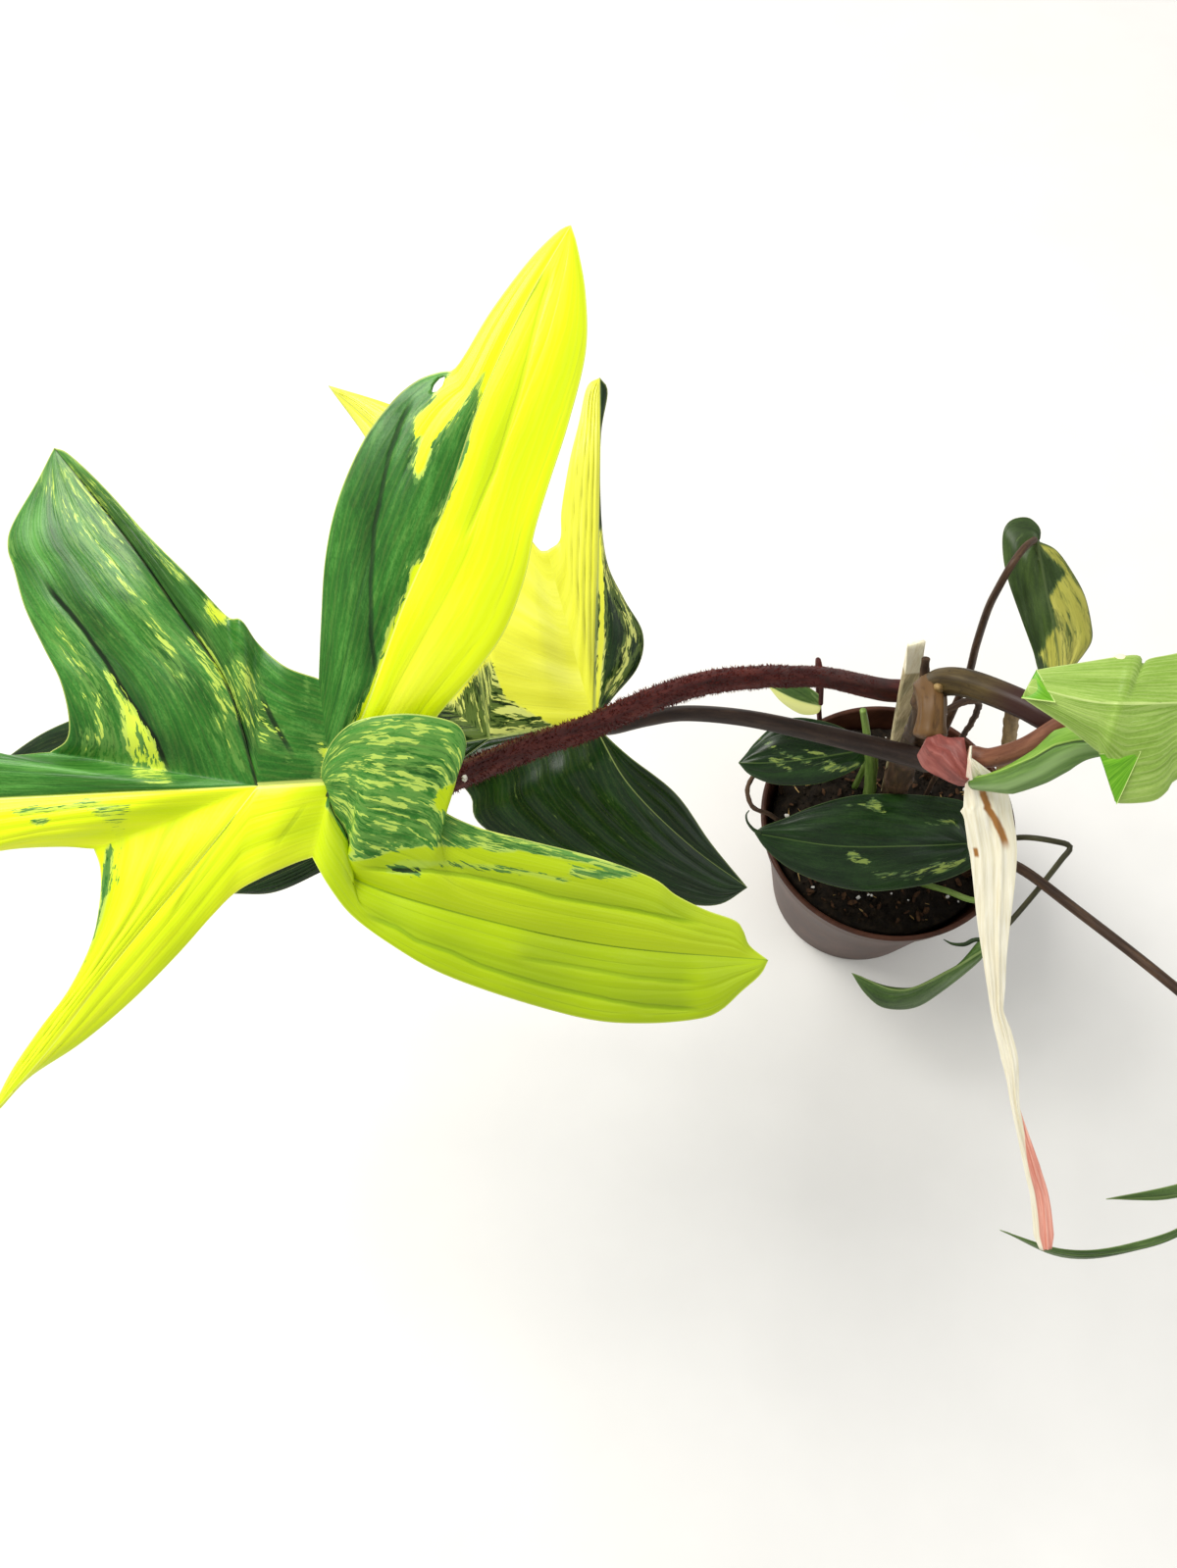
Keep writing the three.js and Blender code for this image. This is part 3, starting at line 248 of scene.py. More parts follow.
def half_lobe(board, leaf, half, rows, across):
    """Cross lines from the rib to the margin, pulled into an arch that starts flat at the first line."""
    counts = [leaf["steps"][rib] for rib in half["ribs"]]
    total = sum(counts) * rows
    runs, strengths = [], []
    for k, (rib, count) in enumerate(zip(half["ribs"], counts)):
        shares = np.arange(1 if k else 0, count * rows + 1) / (count * rows)
        runs.append(evenly(board.place(leaf["ribs"][rib]), shares))
        fading = np.ones_like(shares) if rib == "trunk" else 1 - 0.8 * shares
        strengths.append(np.stack([fading, fading * leaf.get("shown", {}).get(rib, 1)], 1))
    rib, strength = np.vstack(runs), np.concatenate(strengths)
    margin = evenly(board.place(half["margin"]), np.arange(total + 1) / total)
    start = ease(np.arange(total + 1) / rows / SETTLE_STEPS)
    length = np.linalg.norm(margin - rib, axis=1)
    rise = ARCH * length[:, None] * 4 * across * (1 - across) * start[:, None]
    towards = board.towards(rib)[:, None]
    grid = rib[:, None] * (1 - across[:, None]) + margin[:, None] * across[:, None]
    grid = grid + towards * rise[..., None]
    along = run_of(rib)[:, None] + 0 * across
    return {
        "grid": grid, "towards": towards + 0 * grid, "along": along, "start": start[:, None] + 0 * across,
        "from_rib": length[:, None] * across, "from_margin": length[:, None] * (1 - across),
        "strength": strength[:, :1] + 0 * across, "shown": strength[:, 1:] + 0 * across,
        "across": across + 0 * along, "share": along / along.max(), "width": length.max(),
    }


def creased(xy, h, creases):
    """Up to three creases (depth, darkness of its painted shade, line) of a half-lobe: the distance to each
    and how dark its painted shade is drawn, both as vectors, and how far the sheet dips, which falls off
    faster on one side of the line."""
    fold, fade = np.full((*xy.shape[:2], 3), CREASE_REACH + 1.0), np.zeros((*xy.shape[:2], 3))
    dip = np.zeros(xy.shape[:2])
    for n, (low, dark, line) in enumerate(creases):
        gap, run, whole = beside(xy, line)
        fold[..., n] = np.clip(gap, -CREASE_REACH, CREASE_REACH)
        there = ease(run / CREASE_END) * ease((whole - run) / CREASE_END) * ease(h["from_margin"] / 1.5)
        fade[..., n] = there * dark
        dip += low * there * np.exp(-np.abs(gap) / np.where(gap > 0, GENTLE_SIDE, STEEP_SIDE))
    return fold, fade, dip


def pushed_out(board, flat, centre, reach, turn):
    """An oval hole, turned by an angle in degrees: which points lie within it, and how far each of them
    moves to come out on its rim."""
    away = board.read(flat) - centre
    cos, sin = np.cos(np.radians(turn)), np.sin(np.radians(turn))
    local = np.stack([away @ [cos, sin], away @ [-sin, cos]], 1) / reach
    radius = np.linalg.norm(local, axis=1)
    pushed = local / np.maximum(radius, 1e-3)[:, None] * reach
    shift = np.stack([pushed @ [cos, -sin], pushed @ [sin, cos]], 1) - away
    return radius < 1, shift[:, :1] * board.right + shift[:, 1:] * board.up


def facing(points, tri):
    """Unit normals at the points: the sum of those of the triangles round them, by area."""
    normal = np.zeros_like(points)
    area = np.cross(points[tri[:, 1]] - points[tri[:, 0]], points[tri[:, 2]] - points[tri[:, 0]])
    for corner in tri.T:
        np.add.at(normal, corner, area)
    return unit(normal)


def open_edges(faces, index):
    """Edges that only one triangle has once the points are welded, before and after the welding."""
    edge = np.concatenate([faces[:, [i, (i + 1) % 3]] for i in range(3)])
    joined = index[edge]
    base = index.max() + 1
    alone = ~np.isin(joined[:, 0] * base + joined[:, 1], joined[:, 1] * base + joined[:, 0])
    return edge[alone], joined[alone]


def blade(name, board, leaf, finish, rows=8, columns=28, marks=(), wave=0.5, depth=0.9, seed=1,
          hole=None):
    """Joins the half-lobes into one closed sheet: thin at the margin, grooved over each rib and with the
    rib standing out on the other side. The side veins leave the rib at a narrow angle and run along the
    lobe, and the sheet is pleated along them. Attributes carry the tone, the vein coordinates (across
    the side veins, along them, a seed), the distances from rib and margin, the pleat's phase, and how far
    the pattern is settled. A hole is an oval, given by its centre, its half-widths and its turn."""
    t = np.arange(columns + 1) / columns
    across = t ** 1.5 / (t ** 1.5 + 1.15 * (1 - t) ** 1.25)
    halves = [half_lobe(board, leaf, half, rows, across) for half in leaf["halves"]]
    tones, limes, drifts, pleats = (leaf.get(key, [usual] * len(halves)) for key, usual in
                                    (("tones", 0), ("limes", 0), ("drifts", 0.3), ("pleats", 10)))
    first_lines = [tuple(np.round(h["grid"][0, -1]).astype(int)) for h in halves]

    def shared(values, k):
        """Value of half k, blended at its first line with that of the half it shares the line with."""
        common = np.mean([n for n, line in zip(values, first_lines) if line == first_lines[k]])
        return common + (values[k] - common) * halves[k]["start"]

    parts, faces, offset = [], [], 0
    for k, (half, h) in enumerate(zip(leaf["halves"], halves)):
        xy = board.read(h["grid"])
        across_veins = h["width"] * (h["across"] - drifts[k] * h["share"])
        phase = across_veins / pleats[k] + 0.37 * k + seed * 0.61
        swell = np.clip(4 * h["across"] * (1 - h["across"]), 0, 1) ** 0.6 * h["start"]
        swell = swell * ease(h["from_rib"] / 4) * ease(h["from_margin"] / 4)
        fold, fade, dip = creased(xy, h, leaf.get("creases", {}).get(k, []))
        height = wave * ripple(xy, 34, seed) + depth * swell * (np.abs(np.sin(np.pi * phase)) ** 0.7 - 0.6)
        height = height - dip * h["start"]
        own = [mark[2] if mark[0] == "only" else mark for mark in marks if mark[0] != "only" or k in mark[1]]
        seeds = np.full_like(across_veins, 7.3 * (k + 1) + seed)
        parts.append({
            "base": h["grid"], "lifted": h["grid"] + h["towards"] * height[..., None],
            "bulge": h["strength"] * np.exp(-(h["from_rib"] / RIB_HALF_WIDTH) ** 2),
            "thin": ease(h["from_margin"] / 1.6),
            "tone": paint(xy, shared(tones, k), own), "lime": shared(limes, k),
            "vein": np.stack([across_veins, h["along"], seeds], -1),
            "place": np.stack([h["from_rib"], h["from_margin"], h["shown"]], -1),
            "even": h["start"], "phase": phase, "fold": fold, "fade": fade,
        })
        count, wide = h["grid"].shape[0], columns + 1
        i, j = np.meshgrid(np.arange(count - 1), np.arange(columns), indexing="ij")
        a = (offset + i * wide + j).ravel()
        b, c, d = a + wide, a + wide + 1, a + 1
        pair = np.concatenate([np.stack([a, b, c], 1), np.stack([a, c, d], 1)])
        faces.append(pair[:, ::-1] if half["flip"] else pair)
        offset += count * wide
    made = {key: np.concatenate([part[key].reshape(-1, *part[key].shape[2:]) for part in parts])
            for key in parts[0]}
    faces = np.concatenate(faces)
    keys = np.round(made["base"] * WELD_STEPS).astype(np.int64)
    _, first, index = np.unique(keys, axis=0, return_index=True, return_inverse=True)
    index = index.ravel()
    tri = index[faces]
    kept = (tri != tri[:, [1, 2, 0]]).all(1)
    faces, tri = faces[kept], tri[kept]
    middle = made["lifted"][first]
    if hole:
        within, shift = pushed_out(board, made["base"][first], *hole)
        middle[within] += shift[within]
        kept = ~within[tri].all(1)
        faces, tri = faces[kept], tri[kept]
    total = len(first)
    bulge, thin = np.zeros(total), np.ones(total)
    np.maximum.at(bulge, index, made["bulge"])
    np.minimum.at(thin, index, made["thin"])
    normal = facing(middle, tri)
    half_thick = (RIM_HALF_THICK + INNER_GAIN * thin)[:, None]
    raised = (RIB_HEIGHT * leaf.get("rib_scale", 1) * bulge)[:, None]
    sunken = GROOVE_SHARE * raised
    over, under = (raised, -sunken) if leaf.get("ribs_up") else (-sunken, raised)
    top = middle + normal * (half_thick + over)
    bottom = middle - normal * (half_thick + under)
    edge, joined = open_edges(faces, index)
    side = np.concatenate([joined[:, ::-1], joined + total], 1)
    drawn = np.concatenate([faces.ravel(), faces[:, ::-1].ravel(), edge[:, [1, 0, 0, 1]].ravel()])
    painted = ("tone", "lime", "vein", "place", "even", "phase", "fold", "fade")
    corner = {key: made[key][drawn] for key in painted}
    return piece(name, np.vstack([top, bottom]), [tri, tri[:, ::-1] + total, side], finish,
                 [name], flat=(2,), corner=corner)


def lobe_half(*ribs, margin, flip=False):
    """Half a lobe: the ribs it runs along from the joint, and its margin from its first line to the tip.
    It is flipped where the margin lies to the right of the rib, so that its faces look to the front."""
    return {"ribs": ribs, "margin": margin, "flip": flip}


def simple_leaf(rib, left, right, steps=7, rib_scale=0.7, ribs_up=False):
    """A blade with one midrib: two halves, each margin running from the joint to the tip."""
    return {
        "ribs": {"midrib": rib}, "steps": {"midrib": steps}, "rib_scale": rib_scale, "ribs_up": ribs_up,
        "halves": [lobe_half("midrib", margin=left), lobe_half("midrib", margin=right, flip=True)],
        "tones": [-12, -12], "drifts": [0.5, 0.5],
    }


def mirrored(leaf, scale, droop):
    """The same leaf turned over left to right, at another size and with more droop towards its tips."""
    def turn(drawn):
        drawn = np.asarray(drawn, float) * scale
        drawn[:, 0] *= -1
        drawn[:, 2] -= droop * (drawn[:, 0] / 100) ** 2
        return drawn

    halves = [lobe_half(*half["ribs"], margin=turn(half["margin"]), flip=not half["flip"])
              for half in leaf["halves"]]
    return {**leaf, "ribs": {rib: turn(line) for rib, line in leaf["ribs"].items()}, "halves": halves}


# Stalks, sheaths and roots: rings carried along a smooth route

def carried(route, shares, front=(0, 0, 1)):
    """Centres along the route with a sideways and a frontal direction that turn as little as possible."""
    centre = evenly(route, shares)
    along = unit(np.gradient(centre, axis=0))
    towards = np.empty_like(along)
    last = np.array(front, float)
    for k, direction in enumerate(along):
        last = unit(last - direction * (last @ direction))
        towards[k] = last
    return centre, along, np.cross(towards, along), towards


def loft(rings):
    """A stack of rings closed by a fan at each end: points and faces that look outwards."""
    count, sides = rings.shape[:2]
    points = np.vstack([rings.reshape(-1, 3), rings[0].mean(0), rings[-1].mean(0)])
    i = np.arange(count - 1)[:, None] * sides
    j = np.arange(sides)[None]
    k = (j + 1) % sides
    quads = np.stack([i + j, i + k, i + sides + k, i + sides + j], -1).reshape(-1, 4)
    j, k = j[0], k[0]
    last = (count - 1) * sides
    foot = np.stack([np.full(sides, count * sides), k, j], 1)
    head = np.stack([np.full(sides, count * sides + 1), last + j, last + k], 1)
    return points, [quads, np.concatenate([foot, head])]


def with_poles(values, foot, head):
    """The values of all rings in one list, followed by those of the two closing points of a loft."""
    return np.concatenate([values.reshape(-1, *values.shape[2:]), [foot, head]])


def stalk(name, spec, finish, nodes=(), sides=24, pitch=1.6, relief=None):
    """A round stalk with domed ends. Relief is a radius added at (millimetres along, angle, share)."""
    route, widths = spec["route"], np.asarray(spec["widths"], float)
    length = run_of(smooth_curve(route))[-1]
    count = int(length / pitch) + 2
    shares = np.linspace(0, 1, count)
    centre, along, sideways, towards = carried(route, shares)
    radius = np.interp(shares, np.linspace(0, 1, len(widths)), widths / 2)
    foot = centre[0] - along[0] * (np.sin(DOME) * radius[0] * DOME_REACH)[:, None]
    head = centre[-1] + along[-1] * (np.sin(DOME[::-1]) * radius[-1] * DOME_REACH)[:, None]
    centre = np.vstack([foot, centre, head])
    size = np.concatenate([np.cos(DOME) * radius[0], radius, np.cos(DOME[::-1]) * radius[-1]])
    with_domes = [1 + len(DOME)] + [1] * (count - 2) + [1 + len(DOME)]
    sideways, towards, shares = (np.repeat(v, with_domes, 0) for v in (sideways, towards, shares))
    angle = np.linspace(0, 2 * np.pi, sides, endpoint=False)
    size = size[:, None] + 0 * angle
    if relief:
        size = size + relief(shares[:, None] * length, angle[None], shares[:, None])
    out = (sideways[:, None] * np.cos(angle)[:, None] + towards[:, None] * np.sin(angle)[:, None])
    points, faces = loft(centre[:, None] + out * size[..., None])
    share = shares[:, None] + 0 * size
    skin = np.stack([shares[:, None] * length + 0 * size, size * np.cos(angle), size * np.sin(angle)], -1)
    return piece(name, points, faces, finish, nodes, point={
        "skin": with_poles(skin, [0, 0, 0], [length, 0, 0]), "share": with_poles(share, 0, 1)})


# Finishes

def tint(red, green, blue):
    """A colour given as it shows on a screen, 0 to 255, as the scene's linear light."""
    c = np.array([red, green, blue]) / 255
    linear = np.where(c <= 0.04045, c / 12.92, ((c + 0.055) / 1.055) ** 2.4)
    return (*linear.tolist(), 1.0)


class Finish:
    """Builds one procedural material from small steps. A step returns a socket, and takes sockets, numbers
    or screen colours."""

    def __init__(self, name, roughness=0.5, specular=0.5):
        self.material = bpy.data.materials.new(name)
        self.material.use_nodes = True
        self.tree = self.material.node_tree
        self.shader = self.tree.nodes["Principled BSDF"]
        self.shader.inputs["Roughness"].default_value = roughness
        self.shader.inputs["Specular IOR Level"].default_value = specular

    def link(self, value, socket):
        """Leads a socket's value in, or sets a number or a colour."""
        if isinstance(value, bpy.types.NodeSocket):
            self.tree.links.new(value, socket)
        else:
            socket.default_value = tint(*value) if isinstance(value, tuple) else value

    def node(self, kind, *values, **settings):
        """A new node with its settings, and the values of its first inputs."""
        made = self.tree.nodes.new(kind)
        for key, value in settings.items():
            setattr(made, key, value)
        for value, socket in zip(values, made.inputs):
            self.link(value, socket)
        return made

    def attribute(self, name, output="Fac"):
        return self.node("ShaderNodeAttribute", attribute_name=name).outputs[output]

    def object_place(self):
        return self.node("ShaderNodeTexCoord").outputs["Object"]

    def calc(self, operation, a, b=0.0, c=0.0):
        return self.node("ShaderNodeMath", a, b, c, operation=operation).outputs[0]

    def times(self, first, *others):
        for other in others:
            first = self.calc("MULTIPLY", first, other)
        return first

    def plus(self, first, *others):
        for other in others:
            first = self.calc("ADD", first, other)
        return first

    def minus(self, a, b):
        return self.calc("SUBTRACT", a, b)

    def scaled(self, value, by, plus):
        """The value times by, plus another."""
        return self.calc("MULTIPLY_ADD", value, by, plus)

    def size(self, value):
        return self.calc("ABSOLUTE", value)

    def most(self, a, b):
        return self.calc("MAXIMUM", a, b)

    def split(self, vector):
        return self.node("ShaderNodeSeparateXYZ", vector).outputs

    def join(self, x, y, z):
        return self.node("ShaderNodeCombineXYZ", x, y, z).outputs[0]

    def stretch(self, vector, x, y, z):
        made = self.node("ShaderNodeVectorMath", vector, operation="MULTIPLY")
        made.inputs[1].default_value = (x, y, z)
        return made.outputs[0]

    def noise(self, vector, scale=1.0, detail=3.0, rough=0.55):
        made = self.node("ShaderNodeTexNoise", noise_dimensions="3D")
        for value, socket in ((vector, "Vector"), (scale, "Scale"), (detail, "Detail"), (rough, "Roughness")):
            self.link(value, made.inputs[socket])
        return made.outputs["Fac"]

    def grains(self, vector):
        """A random value from 0 to 1 for each Voronoi cell."""
        made = self.node("ShaderNodeTexVoronoi", vector)
        made.inputs["Scale"].default_value = 1.0
        return self.split(made.outputs["Color"])[0]

    def mask(self, value, low, high, to_low=0.0, to_high=1.0):
        """A smooth step from to_low, where the value is at low, to to_high, where it is at high."""
        made = self.node("ShaderNodeMapRange", value, low, high, to_low, to_high,
                         interpolation_type="SMOOTHSTEP")
        return made.outputs[0]

    def ramp(self, value, *stops):
        """Shades laid out along a value, each stop a place and a colour."""
        made = self.node("ShaderNodeValToRGB", value)
        for k, (place, color) in enumerate(stops):
            stop = made.color_ramp.elements[k] if k < 2 else made.color_ramp.elements.new(place)
            stop.position, stop.color = place, tint(*color)
        return made.outputs[0]

    def blend(self, share, a, b):
        """Colour a with the given share of colour b laid over it."""
        made = self.node("ShaderNodeMix", data_type="RGBA", blend_type="MIX")
        for value, place in ((share, 0), (a, 6), (b, 7)):
            self.link(value, made.inputs[place])
        return made.outputs[2]

    def bump(self, height, distance, strength=1.0):
        """Relief of the given depth in millimetres."""
        made = self.node("ShaderNodeBump")
        for value, socket in ((strength, "Strength"), (distance * MM, "Distance"), (height, "Height")):
            self.link(value, made.inputs[socket])
        return made.outputs[0]

    def done(self, color, normal, roughness=None):
        self.link(color, self.shader.inputs["Base Color"])
        self.link(normal, self.shader.inputs["Normal"])
        if roughness:
            self.link(roughness, self.shader.inputs["Roughness"])
        return self.material


# How dark the painted shade in the pleat valleys is drawn
PAINTED_PLEAT_SHADE = 0.25


def leaf_finish(name, greens, yellows, lime, thin, rib, marble, gloss=0.36, streak=1.1, fleck=1.2,
                soft=0.15, marble_share=0.1, dark=None, veins=0.03):
    """A variegated blade. The tone, in millimetres, is roughened by noise and by two sizes of long cells
    drawn out along the side veins, and splits yellow from green with stepped edges, as cells do in a
    leaf; near the split the green turns to grey-green marble. Dark ribs carry painted crease shade, and
    painted shade is drawn over the face last: dark lines in the pleat valleys and along the creases, and a
    band in the lee of each crease. The skin is glossy with a fine grain."""
    f = Finish(name, gloss, 0.25)
    q, s, seed = f.split(f.attribute("vein", "Vector"))
    from_rib, from_margin, strength = f.split(f.attribute("place", "Vector"))
    tone, even, own_lime = f.attribute("tone"), f.attribute("even"), f.attribute("lime")

    def along_veins(across, along, shift=0.0):
        """Vein coordinates for a pattern so many millimetres across the side veins and along them."""
        return f.join(f.times(q, 1 / across), f.times(s, 1 / along), f.plus(seed, shift))

    # The tone with its rough edges, and the share of yellow
    drawn = along_veins(2.8, 22)
    bend = f.scaled(f.noise(along_veins(2.2, 5, 5.0), 1.0, 3.0, 0.6), 2.0, q)
    large = f.join(f.times(bend, 0.75), f.times(s, 0.14), seed)
    little = f.join(f.times(bend, 2.0), f.times(s, 0.42), f.plus(seed, 3.0))
    broad = f.scaled(f.noise(drawn, 1.0, 3.0, 0.6), 2 * streak, -streak)
    small = f.scaled(f.grains(large), 2 * fleck, -fleck)
    tiny = f.scaled(f.grains(little), 1.6 * fleck, -0.8 * fleck)
    rough = f.plus(broad, small, tiny)
    rough = f.times(rough, f.scaled(even, 0.6, 0.4))
    level = f.plus(tone, rough)
    yellow = f.mask(level, -soft, soft)

    # The two colours, with lime in the yellow and marble in the green
    shade = f.scaled(f.noise(along_veins(9, 30), 1.0, 2.0, 0.5), 0.5,
                     f.scaled(f.noise(along_veins(1.6, 6), 1.0, 4.0, 0.7), 0.3,
                              f.times(f.noise(along_veins(0.5, 0.7), 1.0, 2.0, 0.7), 0.2)))
    green = f.ramp(shade, *zip((0.36, 0.5, 0.64), greens))
    gold = f.ramp(f.noise(along_veins(6, 40), 0.6, 2.0, 0.5), *zip((0.3, 0.52, 0.72), yellows))
    gold = f.blend(own_lime, gold, lime)
    gold = f.blend(f.mask(tone, -0.4, 1.2, 0.85, 0.0), gold, thin)
    near = f.minus(1.0, f.mask(f.size(level), 0.4, 3.5))
    grey = f.scaled(near, 0.26, f.noise(along_veins(1.2, 6, 31.0), 1.0, 4.0, 0.65))
    marbled = f.mask(grey, 0.72 - marble_share, 0.84 - marble_share)
    green = f.blend(f.times(marbled, 0.7), green, marble)
    face = f.blend(yellow, green, gold)

    # Ribs, pale or drawn dark as painted crease shade, the rim and the side veins
    width = f.scaled(f.size(strength), 0.8, 0.12)
    line = f.minus(1.0, f.mask(f.calc("DIVIDE", from_rib, width), 0.55, 1.2))
    pale = f.mask(strength, -0.02, 0.02)
    # The colour of the painted shade: the given dark colour on green, a lime green on yellow
    painted_shade_color = f.blend(yellow, dark or greens[0], f.blend(0.4, lime, greens[1]))
    face = f.blend(f.times(line, f.scaled(pale, -0.25, 0.85)), face, f.blend(pale, painted_shade_color, rib))
    rim = f.minus(1.0, f.mask(from_margin, 0.1, 0.5))
    face = f.blend(f.times(rim, 0.45), face, rib)
    side_veins = f.calc("SINE", f.times(f.scaled(f.noise(drawn, 1.5), 4.0, q), 3.1))
    face = f.blend(f.mask(side_veins, 0.0, 1.0, 0.0, veins), face, rib)

    # Painted shade in the valleys between the pleats, along the creases and in the lee of each crease
    fade = f.mask(from_rib, 0.5, 3.0)
    cycle = f.size(f.minus(f.calc("FRACT", f.plus(f.attribute("phase"), 0.5)), 0.5))
    valley = f.minus(1.0, f.mask(cycle, 0.008, 0.045))
    valley = f.times(valley, f.mask(f.noise(drawn, 1.3, 2.0), 0.38, 0.56))
    valley = f.times(valley, fade, even, PAINTED_PLEAT_SHADE)
    painted_lee_shade = 0.0
    wobble = f.scaled(f.noise(along_veins(3, 9, 9.0), 1.0, 3.0, 0.7), 0.7, -0.35)
    for gap, there in zip(f.split(f.attribute("fold", "Vector")), f.split(f.attribute("fade", "Vector"))):
        cut = f.mask(f.size(f.plus(gap, wobble)), 0.85, 0.3)
        valley = f.most(valley, f.times(cut, there))
        lee = f.times(f.mask(gap, -0.3, 0.3), f.mask(gap, 7.0, 0.5))
        painted_lee_shade = f.most(painted_lee_shade, f.times(lee, there))
    plain = f.times(yellow, f.scaled(own_lime, -0.75, 0.75))
    # The painted shade is laid over the face, weaker on plain yellow than on green and on lime
    face = f.blend(f.times(painted_lee_shade, f.scaled(plain, -0.4, 0.46)), face, painted_shade_color)
    face = f.blend(f.times(valley, f.scaled(plain, -0.9, 0.95)), face, painted_shade_color)

    # Relief and gloss
    skin = f.noise(f.stretch(f.object_place(), 900, 900, 900), 1.0, 2.0)
    height = f.scaled(f.times(side_veins, fade), 0.1 + 2 * veins, f.times(skin, 0.3))
    height = f.minus(height, f.times(valley, 2.5))
    normal = f.bump(height, 0.12, 0.5)
    dull = f.scaled(f.noise(drawn, 2.0), 0.16, gloss - 0.08)
    return f.done(face, normal, f.scaled(valley, 0.5, dull))


def stalk_finish(name, dark, mid, light, gloss=0.4, grain=0.06, rough=0.25, scars=0.0, top=None):
    """A stalk's skin: three shades mixed by noise drawn out along it, darker dots and scars, and fine
    ridges. Top gives the shares of the length between which it turns to another colour, and the colour."""
    f = Finish(name, gloss, 0.25)
    skin = f.attribute("skin", "Vector")
    long = f.noise(f.stretch(skin, grain, 0.5, 0.5), 1.0, 5.0, 0.6)
    color = f.ramp(long, (0.3, dark), (0.5, mid), (0.7, light))
    dots = f.noise(f.stretch(skin, 0.6, 0.9, 0.9), 1.0, 2.0, 0.5)
    color = f.blend(f.mask(dots, 0.62, 0.7, 0.0, 0.6), color, dark)
    if top:
        low, high, end = top
        color = f.blend(f.mask(f.attribute("share"), low, high), color, end)
    if scars:
        spots = f.noise(f.stretch(skin, 0.12, 0.35, 0.35), 1.0, 4.0, 0.65)
        color = f.blend(f.mask(spots, 0.56, 0.64, 0.0, scars), color, (38, 24, 16))
    ridges = f.noise(f.stretch(skin, 0.05, 1.6, 1.6), 1.0, 3.0, 0.5)
    return f.done(color, f.bump(ridges, rough, 0.6))


def plain_finish(name, dark, mid, light, scale, gloss, rough):
    """Three shades mixed by object-space noise of so many waves a metre, with the same noise as relief."""
    f = Finish(name, gloss, 0.2)
    place = f.stretch(f.object_place(), scale, scale, scale)
    grain = f.noise(place, 1.0, 5.0, 0.6)
    fine = f.noise(place, 6.0, 3.0, 0.6)
    color = f.ramp(f.scaled(fine, 0.3, f.times(grain, 0.7)), (0.32, dark), (0.5, mid), (0.68, light))
    return f.done(color, f.bump(f.scaled(fine, 0.4, grain), rough, 0.6))


def split_wood():
    """Weathered wood with grain along it, mossy in places, and the clean cream of its cut top."""
    f = Finish("split_wood", 0.7, 0.3)
    place = f.object_place()
    grain = f.noise(f.stretch(place, 900, 900, 30), 1.0, 5.0, 0.65)
    old = f.ramp(grain, (0.32, (146, 130, 94)), (0.5, (196, 180, 138)), (0.68, (224, 210, 170)))
    fresh = f.ramp(grain, (0.32, (222, 210, 176)), (0.5, (238, 230, 202)), (0.68, (248, 243, 224)))
    x, y, z = f.split(place)
    mossy = f.times(f.mask(f.noise(f.stretch(place, 260, 260, 40), 1.0, 2.0), 0.45, 0.6), 0.5)
    old = f.blend(mossy, old, (108, 104, 74))
    face = f.blend(f.mask(z, 0.2395, 0.2415), old, fresh)
    return f.done(face, f.bump(grain, 0.3, 0.6))


def pale_sheath_finish():
    """Cream paper with faint fibres, a brown scar and a nick near its top, and a pink inner side below."""
    f = Finish("pale_sheath", 0.5, 0.3)
    skin, share, across = f.attribute("skin", "Vector"), f.attribute("share"), f.attribute("across")
    long = f.noise(f.stretch(skin, 0.05, 1.3, 1.3), 1.0, 4.0, 0.6)
    cream = f.ramp(long, (0.3, (221, 212, 183)), (0.5, (233, 227, 204)), (0.7, (242, 238, 223)))
    pink = f.ramp(long, (0.3, (196, 120, 104)), (0.5, (220, 150, 132)), (0.7, (236, 184, 164)))
    edge = f.mask(share, 0.69, 0.84, 1.15, -0.45)
    turned = f.mask(f.minus(across, edge), -0.06, 0.1)
    face = f.blend(turned, cream, pink)
    blush = f.times(f.mask(share, 0.12, 0.0), f.mask(across, 0.2, -0.8))
    face = f.blend(f.times(blush, 0.5), face, (214, 160, 146))
    blot = f.noise(f.stretch(skin, 0.25, 0.5, 0.5), 1.0, 3.0, 0.6)
    curve = f.scaled(f.mask(share, 0.08, 0.21), 0.66, -0.14)
    off = f.size(f.minus(across, curve))
    span = f.times(f.mask(share, 0.07, 0.1), f.mask(share, 0.215, 0.19))
    scar = f.times(f.mask(f.scaled(blot, 0.1, off), 0.26, 0.14), span)
    nick_along = f.size(f.minus(share, 0.21))
    nick_across = f.size(f.plus(across, 0.72))
    nick = f.times(f.mask(nick_along, 0.014, 0.006), f.mask(nick_across, 0.13, 0.05))
    face = f.blend(f.most(scar, nick), face, (156, 106, 50))
    return f.done(face, f.bump(long, 0.2, 0.6))


